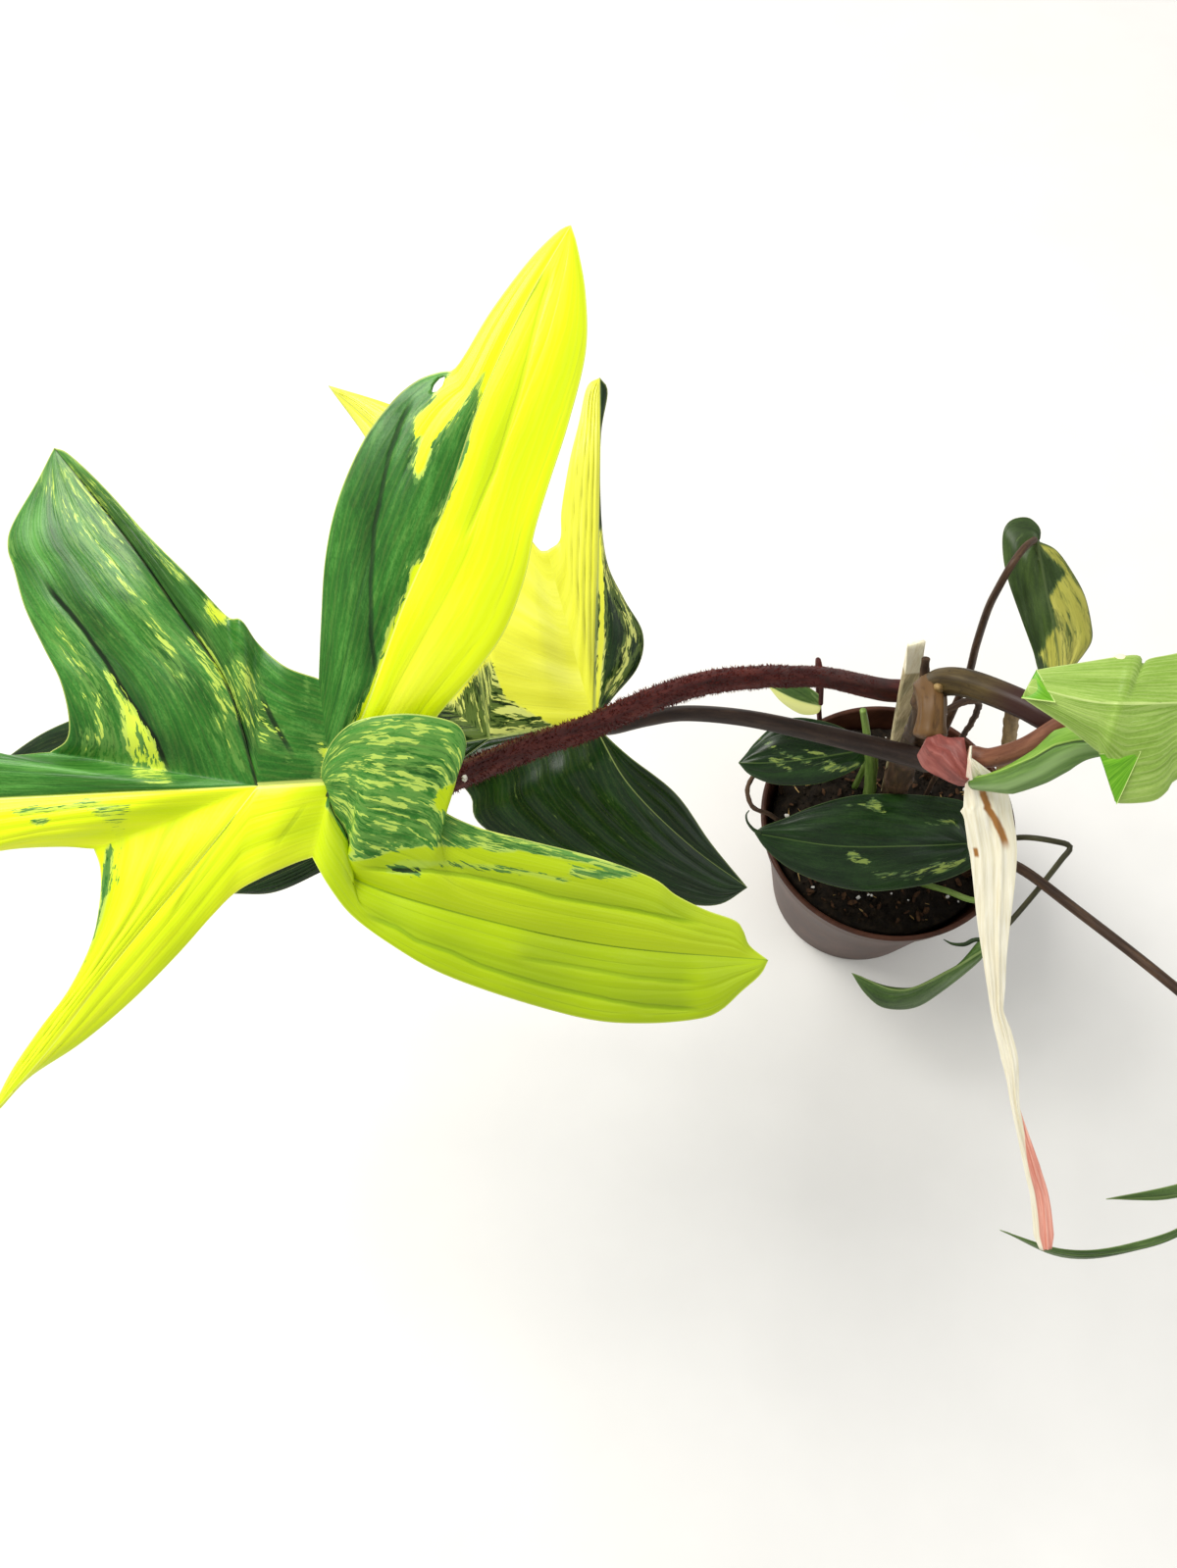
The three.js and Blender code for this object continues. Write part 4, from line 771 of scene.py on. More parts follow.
def green_sheath_finish():
    """A waxy green body with a paler band of painted highlight, a yellower flap above it and the slit between
    the two, darkened with painted shade.
    """
    f = Finish("green_sheath", 0.38, 0.4)
    skin, share, across = f.attribute("skin", "Vector"), f.attribute("share"), f.attribute("across")
    long = f.noise(f.stretch(skin, 0.05, 0.9, 0.9), 1.0, 4.0, 0.6)
    body = f.ramp(long, (0.3, (66, 98, 34)), (0.5, (84, 120, 46)), (0.7, (106, 142, 64)))
    flap = f.ramp(long, (0.3, (92, 136, 36)), (0.5, (112, 156, 48)), (0.7, (136, 174, 72)))
    parting = f.plus(across, f.mask(share, 0.1, 0.9, -0.8, 0.02))
    face = f.blend(f.mask(parting, -0.04, 0.04), body, flap)
    # A painted highlight: a paler band along the body
    band = f.times(f.mask(across, -0.75, -0.45), f.mask(across, 0.05, -0.3))
    face = f.blend(f.times(band, 0.55), face, (140, 168, 108))
    # Painted shade in the slit between the body and the flap
    slit = f.times(f.mask(f.size(parting), 0.08, 0.02), f.mask(share, 0.3, 0.55))
    face = f.blend(f.times(slit, 0.85), face, (26, 44, 12))
    edge = f.mask(f.size(f.minus(parting, 0.1)), 0.05, 0.02)
    face = f.blend(f.times(edge, 0.6), face, (168, 198, 96))
    return f.done(face, f.bump(long, 0.15, 0.5))


def turned_corner_finish():
    """Bright young green with fine lines across the flap and a pale edge."""
    f = Finish("young_blade_face", 0.42, 0.3)
    skin = f.attribute("skin", "Vector")
    lines = f.noise(f.stretch(skin, 1.6, 0.12, 1.0), 1.0, 3.0, 0.6)
    face = f.ramp(lines, (0.34, (78, 138, 16)), (0.5, (98, 162, 24)), (0.66, (124, 182, 46)))
    rim = f.mask(f.attribute("rim"), 0.5, 0.15)
    return f.done(f.blend(f.times(rim, 0.8), face, (206, 222, 140)), f.bump(lines, 0.1, 0.5))


# Leaf finishes: three greens, three yellows, then lime, thin yellow, rib and marble; dark, where
# given, is the colour of the painted shade in creases, pleat valleys and dark ribs
front_finish = leaf_finish(
    "yellow_and_green_blade", [(25, 78, 16), (45, 108, 30), (84, 148, 60)],
    [(216, 238, 4), (233, 250, 14), (247, 252, 58)],
    (162, 188, 0), (172, 200, 92), (236, 244, 130), (98, 146, 62), dark=(3, 20, 3))
rear_finish = leaf_finish(
    "dark_marbled_blade", [(9, 27, 5), (14, 39, 9), (28, 58, 16)],
    [(212, 212, 54), (227, 228, 72), (238, 238, 106)],
    (200, 210, 60), (196, 202, 118), (150, 164, 96), (96, 116, 56), gloss=0.26, dark=(8, 16, 6))
green_finish = leaf_finish(
    "deep_green_blade", [(10, 27, 8), (18, 41, 14), (35, 62, 25)],
    [(130, 150, 60), (160, 176, 80), (180, 190, 100)],
    (120, 150, 40), (120, 140, 70), (84, 108, 52), (96, 122, 70), gloss=0.28, marble_share=0.0)
small_finish = leaf_finish(
    "pale_marbled_blade", [(40, 66, 28), (64, 92, 40), (92, 118, 60)],
    [(196, 204, 110), (216, 220, 138), (230, 232, 164)],
    (180, 196, 90), (150, 170, 92), (190, 204, 130), (110, 134, 78), gloss=0.4, streak=2)
knee_finish = leaf_finish(
    "olive_blade", [(40, 62, 26), (66, 94, 40), (102, 130, 70)],
    [(130, 150, 60), (160, 176, 80), (180, 190, 100)],
    (120, 150, 40), (84, 110, 56), (140, 160, 96), (84, 108, 60), gloss=0.34)
new_finish = leaf_finish(
    "young_blade_underside", [(114, 146, 50), (134, 167, 70), (160, 188, 94)],
    [(190, 214, 110), (200, 220, 130), (214, 228, 150)],
    (150, 190, 80), (190, 214, 110), (200, 216, 140), (170, 196, 120), gloss=0.4, veins=0.2)
upright_finish = leaf_finish(
    "green_blade_underside", [(32, 48, 20), (48, 68, 28), (68, 90, 38)],
    [(160, 158, 62), (188, 184, 84), (206, 200, 104)],
    (120, 140, 40), (150, 152, 62), (84, 100, 56), (84, 104, 54), gloss=0.42, soft=1.3, streak=3.2,
    fleck=0.7)

# Other finishes: a dark, a middle and a light shade
pot_finish = plain_finish("brown_plastic", (50, 26, 17), (66, 37, 25), (84, 51, 37), 60, 0.42, 0.06)
soil_finish = plain_finish("wet_peat", (12, 9, 6), (26, 20, 13), (48, 37, 25), 300, 0.9, 0.8)
stake_finish = split_wood()
# The bark's three browns are darkened as painted shade of the stem below the leaves; near its top it turns to
# a lighter brown
stem_finish = stalk_finish("stem_bark", (44, 30, 21), (62, 44, 30), (86, 63, 42), 0.5, rough=0.12, scars=0.4,
                           top=(0.8, 0.97, (102, 74, 42)))
maroon = stalk_finish("maroon_petiole", (40, 10, 9), (68, 22, 19), (96, 40, 32), 0.6, rough=0.15)
dusky = stalk_finish("dusky_petiole", (34, 24, 20), (49, 36, 30), (68, 52, 42), 0.5, rough=0.12)
brown = stalk_finish("brown_petiole", (46, 30, 20), (66, 46, 32), (92, 68, 48), 0.5, rough=0.12)
olive = stalk_finish("olive_petiole", (44, 42, 26), (66, 64, 42), (92, 90, 60), 0.45, rough=0.12)
young_finish = stalk_finish("young_petiole", (92, 56, 40), (120, 76, 56), (144, 98, 74), 0.5, rough=0.15)
fresh_finish = stalk_finish("green_petiole", (84, 110, 46), (110, 140, 62), (140, 164, 88), 0.4)
base_finish = stalk_finish("pink_sheath_base", (106, 54, 49), (131, 68, 62), (152, 88, 80), 0.45, rough=0.12)
pale_finish = pale_sheath_finish()
bud_finish = green_sheath_finish()
arch_finish = stalk_finish("olive_to_maroon_petiole", (43, 33, 17), (66, 53, 28), (90, 75, 42), 0.45,
                           rough=0.12, top=(0.13, 0.21, (52, 28, 24)))
hair_finish = stalk_finish("maroon_hairs", (60, 16, 15), (86, 28, 24), (114, 48, 39), 0.65)
tip_finish = stalk_finish("leaf_tip", (20, 34, 14), (36, 54, 24), (60, 82, 40), 0.4)
cream_finish = stalk_finish("cream_roll", (222, 206, 164), (236, 224, 190), (244, 236, 210), 0.5)
knob_finish = stalk_finish("scar_knob", (100, 78, 46), (136, 110, 66), (172, 146, 98), 0.55)
drop_finish = plain_finish("dried_sap", (214, 206, 190), (236, 232, 222), (250, 248, 242), 900, 0.15, 0.05)
perlite_finish = plain_finish("perlite", (196, 192, 184), (226, 224, 218), (244, 242, 238), 500, 0.85, 0.5)
bark_finish = plain_finish("bark", (34, 22, 14), (66, 44, 28), (104, 74, 48), 420, 0.85, 0.5)
straw_finish = plain_finish("straw", (120, 92, 52), (164, 134, 84), (196, 170, 118), 400, 0.8, 0.3)
root_finish = stalk_finish("root_bark", (34, 24, 18), (60, 44, 32), (92, 70, 50), 0.75)
tan_finish = stalk_finish("tan_root", (92, 72, 40), (124, 100, 60), (150, 126, 82), 0.6)
corner_finish = turned_corner_finish()


# Leaves: ribs and margins on their boards, in millimetres (right, up, lift). Tips and sinuses are the
# points that a lobe shares with its ribs or with the next lobe

FRONT_TIPS = {
    "end": [-177, -9, -55],
    "upper": [-66, 79.5, -12],
    "lower": [-81.5, -80, -38],
    "crown": [57, 132.5, 26],
    "skirt": [104, -42.5, -26],
}
FRONT_SINUS = {
    "upper_end": [-67, 7, -8],
    "upper_crown": [-3, 24.5, 3],
    "lower_end": [-56.5, -16, -8],
    "lower_skirt": [-4.5, -18, -3],
}
FRONT_LEAF = {
    "ribs": {
        "trunk": [[0, 0, 0], [-9, -0.5, 0.5], [-17.5, -1, 0]],
        "end": [[-17.5, -1, 0], [-48.5, -2.5, -1], [-79, -4, -6], [-114, -5.5, -16], [-149, -7, -34],
            FRONT_TIPS["end"]],
        "upper": [[-17.5, -1, 0], [-24.5, 22.5, 2], [-36.5, 40.5, 2], [-48.5, 57.5, -2],
            FRONT_TIPS["upper"]],
        "lower": [[-17.5, -1, 0], [-32, -19.5, -2], [-51, -42.5, -10], [-67, -63.5, -22],
            FRONT_TIPS["lower"]],
        "crown": [[0, 0, 0], [8, 17, 4], [17, 41.5, 11], [26, 62.5, 17], [34.5, 88, 21], [45, 111.5, 24],
            FRONT_TIPS["crown"]],
        "skirt": [[0, 0, 0], [0, -6, -1], [3.5, -12, -2], [4.5, -16.5, -3], [6, -23.5, -3], [33, -32, -4],
            [66, -39, -12], FRONT_TIPS["skirt"]],
    },
    "steps": {"trunk": 2, "end": 12, "upper": 10, "lower": 9, "crown": 12, "skirt": 16},
    "halves": [
        lobe_half("end", flip=True, margin=[FRONT_SINUS["upper_end"], [-79, 6.5, -9], [-93, 10.5, -11],
            [-114, 14.5, -17], [-137.5, 11, -28], [-158.5, 3, -42], FRONT_TIPS["end"]]),
        lobe_half("end", margin=[FRONT_SINUS["lower_end"], [-65, -15.5, -8], [-79, -16.5, -9],
            [-93, -20.5, -12], [-114, -25, -18], [-137.5, -24, -29], [-158.5, -18, -43],
            FRONT_TIPS["end"]]),
        lobe_half("upper", margin=[FRONT_SINUS["upper_end"], [-63, 10, -5], [-62.5, 15.5, -3],
            [-64.5, 24, -3], [-68.5, 32, -5], [-73, 41.5, -6], [-75.5, 50.5, -8], [-77, 55.5, -9],
            [-76, 61, -10], [-70, 71.5, -12], FRONT_TIPS["upper"]]),
        lobe_half("trunk", "upper", flip=True, margin=[FRONT_SINUS["upper_crown"], [-11, 27.5, 5],
            [-17.5, 33, 3], [-21.5, 38.5, 6], [-25, 39.5, 3], [-33.5, 48.5, 5], [-44, 59, 2],
            [-54.5, 70.5, -3], [-62.5, 78, -9], FRONT_TIPS["upper"]]),
        lobe_half("crown", margin=[FRONT_SINUS["upper_crown"], [-2.5, 36.5, 5], [-1.5, 53, 9],
            [1.5, 67, 12], [7.5, 81, 15], [14.5, 90.5, 17], [20.5, 95.5, 18], [26, 97.5, 19], [29, 98, 20],
            [32, 102, 21], [38, 112, 22], [47, 124, 24], [54, 131, 25.5], FRONT_TIPS["crown"]]),
        lobe_half("crown", flip=True, margin=[[0, 0, 0], [10, 4, -1], [20.5, 10, 0], [26, 16.5, 3],
            [35.5, 27.5, 8], [41.5, 36.5, 11], [46, 48.5, 14], [48.5, 60, 17], [52, 71.5, 19],
            [56.5, 85.5, 21], [60.5, 102, 23], [60.5, 116, 24], [58.5, 127.5, 25.5], FRONT_TIPS["crown"]]),
        lobe_half("lower", flip=True, margin=[FRONT_SINUS["lower_end"], [-55, -20.5, -8], [-55, -27.5, -9],
            [-57, -38, -12], [-62.5, -49.5, -17], [-69.5, -59, -23], [-76.5, -69.5, -31],
            FRONT_TIPS["lower"]]),
        lobe_half("trunk", "lower", margin=[FRONT_SINUS["lower_skirt"], [-9, -19.5, -3], [-17, -23, -3],
            [-23, -26.5, -4], [-28.5, -32, -5], [-37, -41.5, -9], [-48.5, -53, -15], [-60, -62.5, -22],
            [-72, -70.5, -30], [-79, -78, -36], FRONT_TIPS["lower"]]),
        lobe_half("skirt", flip=True, margin=[FRONT_SINUS["lower_skirt"], [-0.5, -25, -1], [5, -32, -1],
            [14.5, -39, -2], [26, -45.5, -4], [42.5, -51.5, -8], [61, -56.5, -14], [75, -57.5, -18],
            [87, -56.5, -22], [92.5, -54.5, -23], [97.5, -50, -24], [102, -46, -25], FRONT_TIPS["skirt"]]),
        lobe_half("skirt", margin=[[0, 0, 0], [-2.5, 1.5, 1.5], [-0.5, 8.5, 5], [5, 14, 8], [13.5, 16, 10],
            [21.5, 16, 10], [29.5, 14, 9], [32, 10, 8], [31, 6, 7], [26, 3, 5], [22.5, -0.5, 3],
            [23, -3.5, 2], [27.5, -7.5, 2], [35.5, -11, 1], [47, -14, -2], [61, -17.5, -6],
            [70.5, -20.5, -9], [77.5, -23.5, -12], [82, -27, -15], [89, -30.5, -19], [96, -33, -22],
            [98, -35.5, -23], [99.5, -39, -24.5], FRONT_TIPS["skirt"]]),
    ],
}

# Large rear leaf: five plain lobes, half hidden below the front leaf

REAR_TIPS = {
    "end": [-205, -28.5, -55],
    "upper": [-83.5, 106.5, -14],
    "lower": [-113, -53.5, -24],
    "crown": [2, 109, 12],
    "skirt": [48.5, -51.5, -10],
}
REAR_SINUS = {
    "upper_end": [-54, 11.5, -3],
    "upper_crown": [-14.5, 54.5, 8],
    "lower_end": [-72.5, -19, -6],
    "lower_skirt": [-43, -17.5, -3],
}
REAR_LEAF = {
    "ribs": {
        "trunk": [[0, 0, 0], [-17, -2, 0.5], [-32.5, -4.5, 0]],
        "end": [[-32.5, -4.5, 0], [-78.5, -11.5, -6], [-125, -17.5, -18], [-165, -23, -34],
            REAR_TIPS["end"]],
        "upper": [[-32.5, -4.5, 0], [-38.5, 30, 1], [-51, 67.5, -3], [-67.5, 92, -8], REAR_TIPS["upper"]],
        "lower": [[-32.5, -4.5, 0], [-57, -22, -4], [-85, -40.5, -12], REAR_TIPS["lower"]],
        "crown": [[0, 0, 0], [0.5, 27, 5], [1.5, 55, 10], [2, 82.5, 12], REAR_TIPS["crown"]],
        "skirt": [[0, 0, 0], [11, -19, 2], [29.5, -37.5, -2], REAR_TIPS["skirt"]],
    },
    "steps": {"trunk": 3, "end": 10, "upper": 8, "lower": 7, "crown": 10, "skirt": 8},
    "halves": [
        lobe_half("end", flip=True, margin=[REAR_SINUS["upper_end"], [-94, 11.5, -9], [-140.5, 8, -22],
            [-166, 0.5, -34], [-183, -9.5, -44], REAR_TIPS["end"]]),
        lobe_half("end", margin=[REAR_SINUS["lower_end"], [-109.5, -34.5, -13], [-149.5, -38.5, -27],
            [-180.5, -34.5, -42], REAR_TIPS["end"]]),
        lobe_half("upper", margin=[REAR_SINUS["upper_end"], [-55.5, 30, -3], [-60, 55, -6], [-65, 75, -9],
            [-71, 89, -12], REAR_TIPS["upper"]]),
        lobe_half("trunk", "upper", flip=True, margin=[REAR_SINUS["upper_crown"], [-18.5, 56.5, 7],
            [-32.5, 78, 2], [-48, 93.5, -4], [-64, 100.5, -9], REAR_TIPS["upper"]]),
        lobe_half("crown", margin=[REAR_SINUS["upper_crown"], [-10.5, 58, 8], [-10, 67.5, 9],
            [-7.5, 82.5, 10], [-4.5, 95, 11], [-2, 106, 12], REAR_TIPS["crown"]]),
        lobe_half("crown", flip=True, margin=[[0, 0, 0], [6, 8, -1], [14, 18, -2], [15.5, 28.5, 0],
            [9.5, 39.5, 4], [4, 52, 8], [2, 73.5, 10], [2.5, 92, 11], [4.5, 104.5, 12],
            REAR_TIPS["crown"]]),
        lobe_half("lower", flip=True, margin=[REAR_SINUS["lower_end"], [-85, -28.5, -10],
            [-100.5, -40.5, -18], REAR_TIPS["lower"]]),
        lobe_half("trunk", "lower", margin=[REAR_SINUS["lower_skirt"], [-51, -24, -4], [-63, -34.5, -8],
            [-86.5, -47, -14], [-100.5, -53, -20], REAR_TIPS["lower"]]),
        lobe_half("skirt", flip=True, margin=[REAR_SINUS["lower_skirt"], [-38.5, -23, -3], [-34, -33, -4],
            [-1.5, -50, -5], [23, -55.5, -8], [38.5, -57, -11], REAR_TIPS["skirt"]]),
        lobe_half("skirt", margin=[[0, 0, 0], [11, -10, 3], [26, -22, 2], [37, -37.5, -3],
            REAR_TIPS["skirt"]]),
    ],
}

# Low leaf on the right: a narrow-lobed young leaf that hangs down, drawn as seen from the front

LOW_TIPS = {
    "end": [10, -118, 0],
    "far": [-111, -43, -3],
    "near": [-71, -33, 1],
    "right": [58, -55, -6],
    "ear": [58, -6, -4],
}
LOW_ROOT = [0, -24, 2]
LOW_SINUS = {"near": [-18, -22, 3], "far": [-9, -44, 0], "right": [12, -44, 0], "ear": [17, -20, 1]}
LOW_LEAF = {
    "rib_scale": 0.8,
    "ribs": {
        "trunk": [[0, 0, 0], [-1, -12, 2], LOW_ROOT],
        "end": [LOW_ROOT, [2, -55, 4], [5, -88, 3], LOW_TIPS["end"]],
        "far": [LOW_ROOT, [-40, -36, 18], [-72, -44, 18], [-92, -46, 12], LOW_TIPS["far"]],
        "right": [LOW_ROOT, [32, -38, 0], LOW_TIPS["right"]],
        "near": [[0, 0, 0], [-22, -6, 6], [-45, -20, 10], LOW_TIPS["near"]],
        "ear": [[0, 0, 0], [20, 8, 1], [38, 6, -2], LOW_TIPS["ear"]],
    },
    "steps": {"trunk": 2, "end": 6, "far": 7, "right": 5, "near": 6, "ear": 6},
    "halves": [
        lobe_half("near", flip=True, margin=[[0, 0, 0], [-6, 8, 2], [-20, 5, 4], [-42, -11, 8],
            LOW_TIPS["near"]]),
        lobe_half("near", margin=[LOW_SINUS["near"], [-34, -22, 7], [-50, -28, 8], LOW_TIPS["near"]]),
        lobe_half("trunk", "far", flip=True, margin=[LOW_SINUS["near"], [-40, -29, 17], [-70, -38, 17],
            [-92, -41, 11], LOW_TIPS["far"]]),
        lobe_half("far", margin=[LOW_SINUS["far"], [-34, -44, 15], [-68, -51, 16], [-92, -51, 11],
            LOW_TIPS["far"]]),
        lobe_half("end", flip=True, margin=[LOW_SINUS["far"], [-13, -70, -1], [-5, -98, 0],
            LOW_TIPS["end"]]),
        lobe_half("end", margin=[LOW_SINUS["right"], [20, -70, -1], [19, -98, 0], LOW_TIPS["end"]]),
        lobe_half("right", flip=True, margin=[LOW_SINUS["right"], [28, -50, -2], [45, -57, -4],
            LOW_TIPS["right"]]),
        lobe_half("trunk", "right", margin=[LOW_SINUS["ear"], [36, -28, -2], [50, -42, -4],
            LOW_TIPS["right"]]),
        lobe_half("ear", flip=True, margin=[LOW_SINUS["ear"], [32, -10, -2], [46, -8, -3],
            LOW_TIPS["ear"]]),
        lobe_half("ear", margin=[[0, 0, 0], [5, 9, 1], [20, 18, 0], [40, 14, -2], LOW_TIPS["ear"]]),
    ],
}

# Blades with one midrib

NEW_LEAF = simple_leaf(
    [[0, 0, 0], [-20, -2, 3], [-37.5, -3, 4], [-58.5, -3, 3], [-78.4, 1.4, -2.5]],
    [[0, 0, 0], [4, -4, 0], [7, -12, -2], [1.5, -21.5, -4], [-10.5, -24, -4], [-27, -23, -3],
        [-37.5, -24, -4], [-40.5, -27.5, -5], [-44.5, -30, -6], [-53.5, -30.5, -8], [-54.8, -29, -7.6],
        [-56.8, -23, -6], [-58.6, -17.2, -4], [-60, -15.8, -4], [-68, -9.5, -3], [-78.6, -2.5, -3],
        [-79.6, -1, -3], [-78.4, 1.4, -2.5]],
    [[0, 0, 0], [3, 4, 0], [6.5, 9.5, -2], [2.5, 16, -4], [-8, 17.5, -4], [-21.5, 14, -3],
        [-37.5, 10.5, -2], [-45, 9, -2], [-47, 7.5, -2], [-49, 10, -2], [-64.5, 7.8, -3], [-74.5, 6.2, -4],
        [-76, 5.4, -4], [-78.4, 1.4, -2.5]],
    steps=22, rib_scale=0.5, ribs_up=True)
UPRIGHT_LEAF = simple_leaf(
    [[0, 0, 0], [4, -20, -1], [8, -40, -3], [9, -55, -5]],
    [[0, 0, 0], [7.5, -3.5, -1], [13.5, -11.5, -3], [18.5, -21, -5], [21, -32, -7], [21, -37.5, -7],
        [18.5, -42, -7], [13.5, -48.5, -6], [9, -55, -5]],
    [[0, 0, 0], [2, 2, -2], [1, 5.5, -3], [-3, 8.5, -5], [-9, 7.5, -6], [-12, 3, -6], [-12, -6, -7],
        [-10, -15.5, -7], [-5.5, -28.5, -7], [-1, -41, -6], [2, -50.5, -5], [9, -55, -5]],
    steps=12, rib_scale=0.5, ribs_up=True)
POT_LEAF = simple_leaf(
    [[0, 0, 0], [-25, -1, 2], [-60, -1, 1], [-95.5, 4.5, -6]],
    [[0, 0, 0], [2, -6.5, 1], [0, -11, 0], [-13, -16.5, -2], [-30.5, -20, -3], [-47.5, -21, -4],
        [-65, -17.5, -5], [-80, -11, -6], [-90, -3, -6], [-95.5, 4.5, -6]],
    [[0, 0, 0], [1, 9, 1], [-2, 18, 0], [-17.5, 21, -2], [-37, 22, -3], [-53, 21, -4], [-69.5, 16.5, -5],
        [-82.5, 11, -6], [-92, 7.5, -6], [-95.5, 4.5, -6]],
    steps=9)
BACK_LEAF = simple_leaf(
    [[0, 0, 0], [-25, -4, 2], [-42, -5.5, 0], [-54.5, -5.5, -3]],
    [[0, 0, 0], [1, -5.5, 0], [-8, -11, -1], [-21, -15, -2], [-38, -15, -3], [-49, -11, -4],
        [-54.5, -5.5, -3]],
    [[0, 0, 0], [-1.5, 5.5, 0], [-12, 11.5, -1], [-27.5, 14.5, -2], [-38, 11.5, -3], [-47, 3.5, -4],
        [-51, -1.5, -4], [-54.5, -5.5, -3]])
SMALL_LEAF = simple_leaf(
    [[0, 0, 0], [-11, 3, 1], [-23, 9, -1]],
    [[0, 0, 0], [-2, -3, 0], [-9, -3, -1], [-17, 2, -1], [-23, 9, -1]],
    [[0, 0, 0], [0, 4, 0], [-7, 9, -1], [-16, 11, -1], [-23, 9, -1]],
    steps=5, rib_scale=0.4)
KNEE_LEAF = simple_leaf(
    [[0, 0, 0], [-15, -9, 2], [-36, -17.5, 2], [-57, -10, -4]],
    [[0, 0, 0], [-2, -5, -3], [-18, -18, -6], [-30, -25, -7], [-43, -25, -6], [-51, -19, -5],
        [-57, -10, -4]],
    [[0, 0, 0], [-2, 4, -3], [-14, -10, -4], [-28, -16, -5], [-40, -16, -5], [-50, -13, -4],
        [-57, -10, -4]],
    rib_scale=0.4)

# Corners of the new blade that are turned over: the two ends of the fold and the loose tip
NEW_LEAF_FOLDS = [
    [[-80.2, -1.8, -3], [-75.9, 6.2, -3.4], [-70.6, -3, 0.4]],
    [[-54, -31, -7.2], [-58.9, -16.9, -3], [-47.2, -16.2, 1.2]],
]

# Stem, petioles, shoots and roots: the route in space and the widths at even shares of it

STEM = {
    "route": [[5, 4, 35], [3, 5, 88], [-2, 3.2, 130], [-7.5, -1.5, 172], [-11.5, -7, 212], [-16, -9.5, 243],
        [-19.5, -11, 258], [-21, -20, 263], [-22.5, -29, 259.5]],
    "widths": [8, 12, 11.5, 11, 11.5, 10.5, 10, 10, 9.5],
}
FRONT_PETIOLE = {
    "route": [[-9, -4, 203], [-3.8, 2.5, 203.5], [-3.4, 9.5, 202.5], [-9, 15.4, 202], [-18.8, 15, 206.5],
        [-31.3, 11.7, 219.1], [-46.7, 5.8, 238.5], [-57.3, 0.3, 252.3], [-69.1, -4.5, 263.5],
        [-78, -9, 273.5], [-100, -18.5, 291], [-120.5, -31.5, 307.5], [-139, -45.5, 322],
        [-155.5, -57, 336.5], [-170.5, -68.5, 350], [-179.5, -75.5, 358], [-188.5, -77, 361.5],
        [-197.5, -77, 366], [-201, -77, 368.5]],
    "widths": [9.6, 9.4, 8.4, 7.4, 7.4, 7.4, 7.2, 7, 6.7, 6.5, 6.2],
}
REAR_PETIOLE = {
    "route": [[-10, -10, 203], [-9, -17, 206], [-16, -17, 212], [-37, -15, 224], [-60.5, -13.5, 237.5],
        [-83.5, -13.5, 252], [-105, -16, 265], [-119, -21, 273.5], [-131, -27, 282], [-137, -30.5, 291]],
    "widths": [8.6, 8.2, 7.2, 6.4, 5.6, 4.8, 4.6],
}
RIGHT_PETIOLE = {
    "route": [[-18, -10, 256], [-15.5, -13, 266], [-9.5, -18, 272], [1, -30.5, 281], [10.5, -40, 284],
        [26.5, -48, 286], [42.5, -53, 289], [75, -46, 298], [110, -31, 315], [137.5, -16.5, 325]],
    "widths": [10, 9.6, 9, 8.2, 7.4, 7, 6.6, 6.4, 6.2],
}
NEW_PETIOLE = {
    "route": [[-13, -41.2, 266.5], [-8, -44, 269.5], [-1, -46.5, 281.5], [6.5, -46.5, 297.5],
        [16, -45, 308], [30.5, -49, 318], [47.5, -55, 327], [59, -59, 332]],
    "widths": [6.6, 6.6, 6.4, 6, 5.6, 5.2, 4.8],
}
LOW_PETIOLE = {
    "route": [[34, -24, 66], [35, -27, 88], [37.5, -33, 118], [42.5, -41.5, 136.5], [58.5, -66.5, 148],
        [82, -104.5, 163.5], [99, -135, 172.5], [109.5, -153, 175]],
    "widths": [4.8, 4.6, 4.4, 4.2, 4, 3.8, 3.6],
}
UPRIGHT_PETIOLE = {
    "route": [[26, 24, 66], [26, 25, 88], [25, 27.5, 115], [25, 30.5, 150], [23.5, 31, 181],
        [20, 31.5, 207], [18, 33, 232], [18, 33.5, 247], [20.5, 36.5, 256.5], [26.5, 43, 257.5],
        [32.5, 48.2, 254]],
    "widths": [3.8, 3.8, 3.6, 3.4, 3.2, 3, 2.6],
}
POT_PETIOLE = {
    "route": [[2, -22, 70], [4, -26, 88], [10, -33, 98], [18, -40, 107], [28, -47.5, 113], [33, -45, 120],
        [31.5, -36, 127.5], [27, -28, 131]],
    "widths": [3, 3, 2.8, 2.8, 2.6, 2.6],
}
BACK_PETIOLE = {
    "route": [[-10, 22, 68], [-10, 22, 88], [-11, 20, 115], [-13, 18, 138], [-18, 15, 148.5]],
    "widths": [3, 3, 2.8, 2.6],
}
SMALL_PETIOLE = {
    "route": [[-20, 27, 68], [-22, 28, 88], [-33, 33, 140], [-41, 35.5, 190], [-42.5, 34, 201],
        [-41, 29.5, 194], [-39.5, 25.5, 178]],
    "widths": [2.6, 2.6, 2.4, 2.2, 2, 2],
}
KNEE_PETIOLE = {
    "route": [[43, -9, 70], [44, -12, 88], [46, -20, 112], [50, -26, 131], [60, -30.5, 136],
        [67, -33.5, 135], [62, -39, 134], [50.5, -50, 132.5], [36, -63, 130.5], [22.9, -73.9, 128.4]],
    "widths": [2.8, 2.8, 2.6, 2.6, 2.6, 2.4, 2.4, 2.2],
}
GREEN_SHOOT = {
    "route": [[-6, 8, 68], [-8, 7, 88], [-10.5, 7.6, 118], [-14.6, 11.4, 142.5], [-20.7, 13.3, 170.4],
        [-25, 15.8, 188]],
    "widths": [5, 6.4, 6, 4.6, 3.4, 2.8],
}
